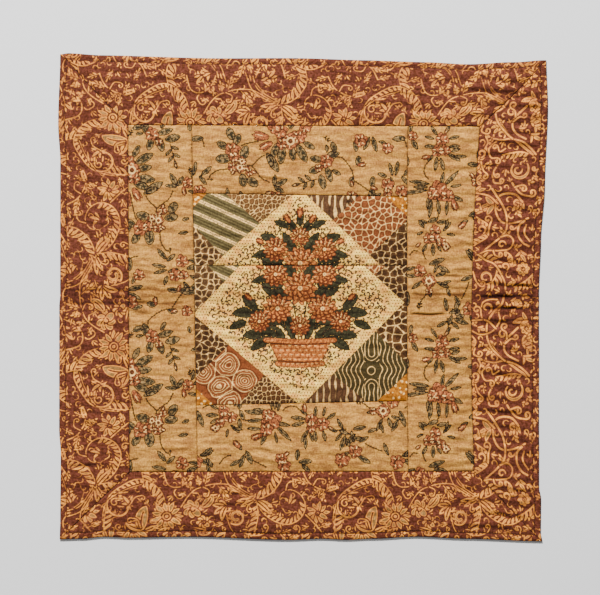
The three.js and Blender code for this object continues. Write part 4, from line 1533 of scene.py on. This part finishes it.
# %% The scroll print: golden leaves on a brown-red ground
def scroll_cloth():
    cloth = Cloth("scroll print cotton")
    ground = cloth.blend(cloth.patchy(5, 4, 0.35, 0.65), dye(73, 32, 10), dye(100, 51, 37))
    body = cloth.blend(cloth.patchy(9, 8, 0.35, 0.65), dye(129, 96, 50), dye(174, 127, 68))
    rim = cloth.blend(cloth.patchy(30, 24, 0.3, 0.7), dye(198, 122, 52), dye(248, 162, 58))
    figure = cloth.blend(((cloth.layer("figure") - 1.0) / 1.6).clip(), rim, body)
    figured = cloth.inked("figure", 0.8) * (0.7 + 0.44 * cloth.noise(3.5, 3.5))
    engraved = (1.0 - abs(cloth.layer("figure") - 2.4) / 0.6).clip() * 0.6
    colour = cloth.blend(figured * (1.0 - engraved), ground, figure)
    woven(cloth)
    return cloth.finish(worn_and_shaded(cloth, colour))


# %% The floral print: sprays on a tan ground
def printed_flowers(cloth, colour, leaf_dyes, bloom_dyes):
    """Leaves, flowers, lights and lines printed over a ground, one plate after the other."""
    ragged = (cloth.noise(3.2, 3.2, 1.0) - 0.5) * 2.4
    outline, shaded, lit = leaf_dyes
    smudge = ((cloth.layer("leaf") - 1.2) / 1.2).clip() * (1.2 - cloth.patchy(6, 6, 0.47, 0.58)).clip()
    fill = cloth.blend(smudge, dye(*lit), dye(*shaded))
    leaf = cloth.blend(((cloth.layer("leaf") + ragged - 1.0) / 0.8).clip(), dye(*outline), fill)
    colour = cloth.blend(cloth.inked("leaf", offset=ragged + 0.3), colour, leaf)
    colour = cloth.blend(cloth.inked("line", offset=0.3) * 0.9, colour, dye(*outline))
    outline, shaded, lit = bloom_dyes
    fill = cloth.blend(cloth.patchy(4, 4, 0.38, 0.62), dye(*shaded), dye(*lit))
    bloom = cloth.blend(((cloth.layer("bloom") + ragged - 0.5) / 0.9).clip(), dye(*outline), fill)
    petals = cloth.inked("bloom", offset=ragged * 0.6 + 0.3)
    colour = cloth.blend(petals, colour, bloom)
    colour = cloth.blend(cloth.inked("light", 0.9, ragged * 0.5) * 0.86, colour, dye(250, 198, 118))
    return cloth.blend(cloth.inked("line") * petals * 0.7, colour, dye(*outline))


def floral_cloth():
    cloth = Cloth("floral print cotton")
    ground = cloth.blend(cloth.patchy(26, 7, 0.35, 0.65), dye(164, 112, 54), dye(209, 151, 68))
    ground = cloth.shade(cloth.patchy(3.4, 2.6, 0.42, 0.62) * 0.6, ground, dye(192, 182, 170))
    colour = printed_flowers(cloth, ground, ((30, 18, 7), (50, 42, 24), (148, 116, 70)),
                             ((60, 30, 12), (112, 56, 30), (172, 100, 56)))
    woven(cloth)
    return cloth.finish(worn_and_shaded(cloth, colour))


# %% The printed centre
def centre_cloth():
    cloth = Cloth("patchwork print cotton")
    edge_dye, broad_dye = cloth.colour_layer("edge_dye"), cloth.colour_layer("broad_dye")
    patch = cloth.blend(cloth.inked("broad", 0.5), edge_dye, broad_dye)
    patch = cloth.shade(cloth.patchy(3.4, 3.4, 0.4, 0.62) * 0.5, patch, dye(180, 170, 160))
    orange = cloth.blend(cloth.patchy(6, 6, 0.35, 0.65), dye(140, 78, 14), dye(186, 116, 20))
    patch = cloth.blend(cloth.inked("orange", 0.5), patch, orange)
    patch = cloth.shade(cloth.inked("dark", 0.8) * 0.7, patch, dye(150, 138, 124))
    broken = 0.55 + 0.45 * cloth.patchy(6, 6, 0.34, 0.44)
    patch = cloth.blend(cloth.inked("pale", 0.8, 0.1) * broken, patch, dye(250, 200, 120))
    cream = cloth.blend(cloth.patchy(16, 12, 0.35, 0.65), dye(226, 160, 74), dye(255, 208, 96))
    squiggle = cloth.inked("squiggle", 0.6, 0.15) * (0.72 + 0.6 * cloth.noise(34, 34))
    cream = cloth.blend(squiggle, cream, dye(64, 47, 33))
    posy = printed_flowers(cloth, cream, ((26, 18, 8), (40, 37, 19), (62, 57, 34)),
                           ((84, 36, 14), (138, 72, 32), (204, 122, 54)))
    colour = cloth.blend(cloth.inked("diamond", 0.5), patch, posy)
    edge = (1.0 - abs(cloth.layer("diamond")) / 0.9).clip()
    colour = cloth.blend(edge * 0.7, colour, dye(70, 44, 22))
    woven(cloth)
    return cloth.finish(worn_and_shaded(cloth, colour))


# %% Plain backing cloth for the underside
def backing_cloth():
    cloth = Cloth("natural cotton backing")
    colour = cloth.blend(cloth.patchy(14, 11, 0.35, 0.65), dye(198, 168, 104), dye(222, 194, 128))
    woven(cloth)
    return cloth.finish(colour)


# %% [markdown]
# ## Dressing the panels
#
# Each panel now gets its mesh, its fields and its cloth. The scroll print is read on the cutting
# plan, so it follows its strips and their hem. The floral print and the centre are read where the
# cloth lies, because their motifs were measured there, beside seams that wander.

# %% Fields on a mesh
def keep_layer(piece, name, values):
    field = piece.data.attributes.new(name, "FLOAT", "POINT")
    field.data.foreach_set("value", np.asarray(values, "f"))


def keep_dye(piece, name, values):
    colours = np.column_stack([linear_light(values), np.ones(len(values))])
    field = piece.data.attributes.new(name, "FLOAT_COLOR", "POINT")
    field.data.foreach_set("color", colours.astype("f").ravel())


# %% Where the print and the painted shade of the seams and hem fall
# The place of the print that each border strip would show at the plan's middle.
SCROLL_CUTS = dict(bottom=(389, 457), top=(335, -290), left=(218, -313), right=(446.4, -321.4))
HEM_SHIFT = (61.0, 23.0)  # the turned edge shows another part of the print
HEM_SHADE_LINE, SEAM_SHADE_LINE = 1.1, 1.5  # how wide the painted shade is in the needle's grooves, along the hem and beside the seams


def from_edge(p, q):
    return EDGE - np.maximum(abs(p), abs(q))


def scroll_place(side, p, q):
    """Where a place of a border strip lies on the scroll print."""
    along, out = dict(bottom=(p, q), top=(p, q), left=(q, -p), right=(-q, p))[side]
    s, t = SCROLL_CUTS[side]
    hem = from_edge(p, q) < HEM_WIDTH
    return along + s + HEM_SHIFT[0] * hem, out + t + HEM_SHIFT[1] * hem


def groove_shade(corners, p, q):
    """How much painted shade a place gets in the groove of the hem's stitches or beside a seam, about 0 to 1.
    """
    hem = np.exp(-(((from_edge(p, q) - HEM_WIDTH) / HEM_SHADE_LINE) ** 2))
    nearest = np.minimum.reduce([side.distance(p, q) for side in sides_of(corners)])
    seam = np.exp(-((nearest / SEAM_SHADE_LINE) ** 2))
    return hem + seam * (0.55 + 0.45 * soft_noise(p, q, 6.5, 6.5, 21))


# %% Ten panels
CLOTHS = dict(outer=scroll_cloth(), inner=floral_cloth(), centre=centre_cloth())
BACKING = backing_cloth()
STEPS = dict(outer=1.3, inner=1.5, centre=1.3)  # millimetres between the points of a panel's grid
NAMES = dict(outer="scroll_border", inner="floral_border", centre="printed_centre")
total = 0
for node, corners in PANELS.items():
    zone, place = node.split("_")[0], node.split("_")[-1]
    piece, p, q = crowned_panel(NAMES[zone] + "_" + place, corners, STEPS[zone])
    x, y = lie(p, q)
    seen_x, seen_y = x + MIDDLE_X, y + MIDDLE_Y  # as measured in the photograph
    if zone == "outer":
        plate = FINE_SCROLL if place == "right" else SCROLL
        keep_layer(piece, "figure", plate.at(*scroll_place(place, p, q)))
    elif zone == "inner":
        lane, u, v = floral_place(place, seen_x, seen_y)
        for name in FLORAL_PLATES:
            keep_layer(piece, name, getattr(FLORAL[lane], name).at(u, v))
    else:
        layers, broad_dye, edge_dye = centre_layers(place, seen_x, seen_y)
        for name, field in layers.items():
            keep_layer(piece, name, field)
        keep_dye(piece, "broad_dye", broad_dye)
        keep_dye(piece, "edge_dye", edge_dye)
    # painted shade: how much the creases, the hem's groove and the seams darken the colour
    keep_layer(piece, "valley_shade", np.clip(crease_depth(x, y) / 2 + groove_shade(corners, p, q), 0, 1))
    for material in (CLOTHS[zone], BACKING):
        piece.data.materials.append(material)
    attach(piece, "root")
    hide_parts(node)
    total += 2 * len(piece.data.polygons)
    print(piece.name, "has", len(piece.data.polygons), "faces")
print("about", total, "triangles in all panels")


# %% [markdown]
# ## The hem's stitches
#
# The edge is turned and sewn down by hand with a dark brown thread. Each stitch is a small
# flattened bead that sinks into the cloth, and together they draw the line that the hem shows.

# %% A row of stitches round the quilt
# Sizes in millimetres. The slip is in degrees, and a bead's middle is raised above the cloth.
STITCH = dict(pitch=4.4, length=2.7, width=0.75, depth=0.5, raised=0.12, slip=6.0)


def thread_cotton():
    cloth = Cloth("dark cotton thread")
    cloth.plan = cloth.node("ShaderNodeTexCoord", out=3)  # a bead has no plan, so its own place serves
    colour = cloth.blend(cloth.patchy(6, 6, 0.4, 0.6), dye(58, 24, 12), dye(92, 48, 28))
    return cloth.finish(colour, roughness=0.8)


def hem_line():
    """The middle of every stitch in the plan, with the way it runs."""
    reach = EDGE - HEM_WIDTH
    count = round(2 * reach / STITCH["pitch"])
    run = np.linspace(-reach, reach, count, endpoint=False) + STITCH["pitch"] / 2
    level = np.full(count, reach)
    p = np.concatenate([run, level, -run, -level])
    q = np.concatenate([-level, run, level, -run])
    return p, q, np.repeat([0.0, 90.0, 180.0, 270.0], count)


def sew_hem(pieces):
    """One mesh of all stitches, each set on the height of the border below it."""
    p, q, way = hem_line()
    x, y = lie(p, q)
    bm = bmesh.new()
    size = Matrix.Diagonal((STITCH["length"], STITCH["width"], STITCH["depth"], 1.0))
    for k in range(len(p)):
        slip = STITCH["slip"] * math.sin(2.3 * k)
        turn = Matrix.Rotation(math.radians(way[k] + slip), 4, "Z")
        height = stitch_height(pieces, x[k], y[k])
        place = Matrix.Translation((x[k] * MM, y[k] * MM, height + STITCH["raised"] * MM))
        shape = place @ turn @ size @ Matrix.Scale(MM / 2, 4)
        bmesh.ops.create_icosphere(bm, subdivisions=1, radius=1.0, matrix=shape)
    for face in bm.faces:
        face.smooth = True
    return put_in_scene("hem_stitches", mesh_from(bm, "hem_stitches"))


def stitch_height(pieces, x, y):
    """How high the border's face lies at a place, in metres."""
    down = Vector((0, 0, -1))
    heights = []
    for piece in pieces:
        hit, point, _, _ = piece.ray_cast(Vector((x * MM, y * MM, 0.1)), down)
        if hit:
            heights.append(point.z)
    return max(heights, default=SEAM_HEIGHT * MM)


borders = [bpy.data.objects["scroll_border_" + side] for side in ("bottom", "right", "top", "left")]
stitches = sew_hem(borders)
stitches.data.materials.append(thread_cotton())
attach(stitches, "root")
print(stitches.name, "has", len(stitches.data.polygons), "faces")

# %% [markdown]
# ## Table, camera and light
#
# The photograph looks straight down on the quilt. A long lens high above it keeps the edges
# straight. One large soft light on the far side throws the small shadows below the near edge and
# along the creases, and the pale sky of the world fills them.

# %% Floor
bm = bmesh.new()
bmesh.ops.create_grid(bm, x_segments=1, y_segments=1, size=6.0)
floor = put_in_scene("table", mesh_from(bm, "table"))
floor.data.uv_layers.new(name="cloth")
floor.data.materials.append(Cloth("pale grey table").finish(dye(207, 207, 207), sheen=0.0))
print("the table is", round(floor.dimensions.x), "m wide")

# %% Camera
PHOTO_WIDTH, PHOTO_HEIGHT = 600, 595  # pixels
CAMERA_HEIGHT = 3000.0
FACE_HEIGHT = 4.5  # about the mean height of the cloth
SENSOR_WIDTH = 36.0
lens = bpy.data.cameras.new("camera")
lens.sensor_fit = "HORIZONTAL"
lens.sensor_width = SENSOR_WIDTH
lens.lens = SENSOR_WIDTH * (CAMERA_HEIGHT - FACE_HEIGHT) / (PHOTO_WIDTH * PHOTO_SCALE)
camera = put_in_scene("camera", lens)
over_x, over_y = seen(PHOTO_WIDTH / 2, PHOTO_HEIGHT / 2)
camera.location = ((over_x - MIDDLE_X) * MM, (over_y - MIDDLE_Y) * MM, CAMERA_HEIGHT * MM)
bpy.context.scene.camera = camera
print("the camera's lens is", round(lens.lens, 1), "mm long")

# %% Lights
window_light = bpy.data.lights.new("window", "AREA")
window_light.shape = "DISK"
window_light.size, window_light.energy = 1.2, 2730
window = put_in_scene("window", window_light)
window.location = (-1.6, 6.6, 4.0)
window.rotation_euler = (-window.location.normalized()).to_track_quat("-Z", "Y").to_euler()

world = bpy.data.worlds.new("studio")
world.use_nodes = True
sky = world.node_tree.nodes["Background"].inputs
sky["Color"].default_value = (1, 1, 1, 1)
sky["Strength"].default_value = 0.38
bpy.context.scene.world = world
print("the window stands", round(window.location.length, 1), "m away, and the world fills its shadows")
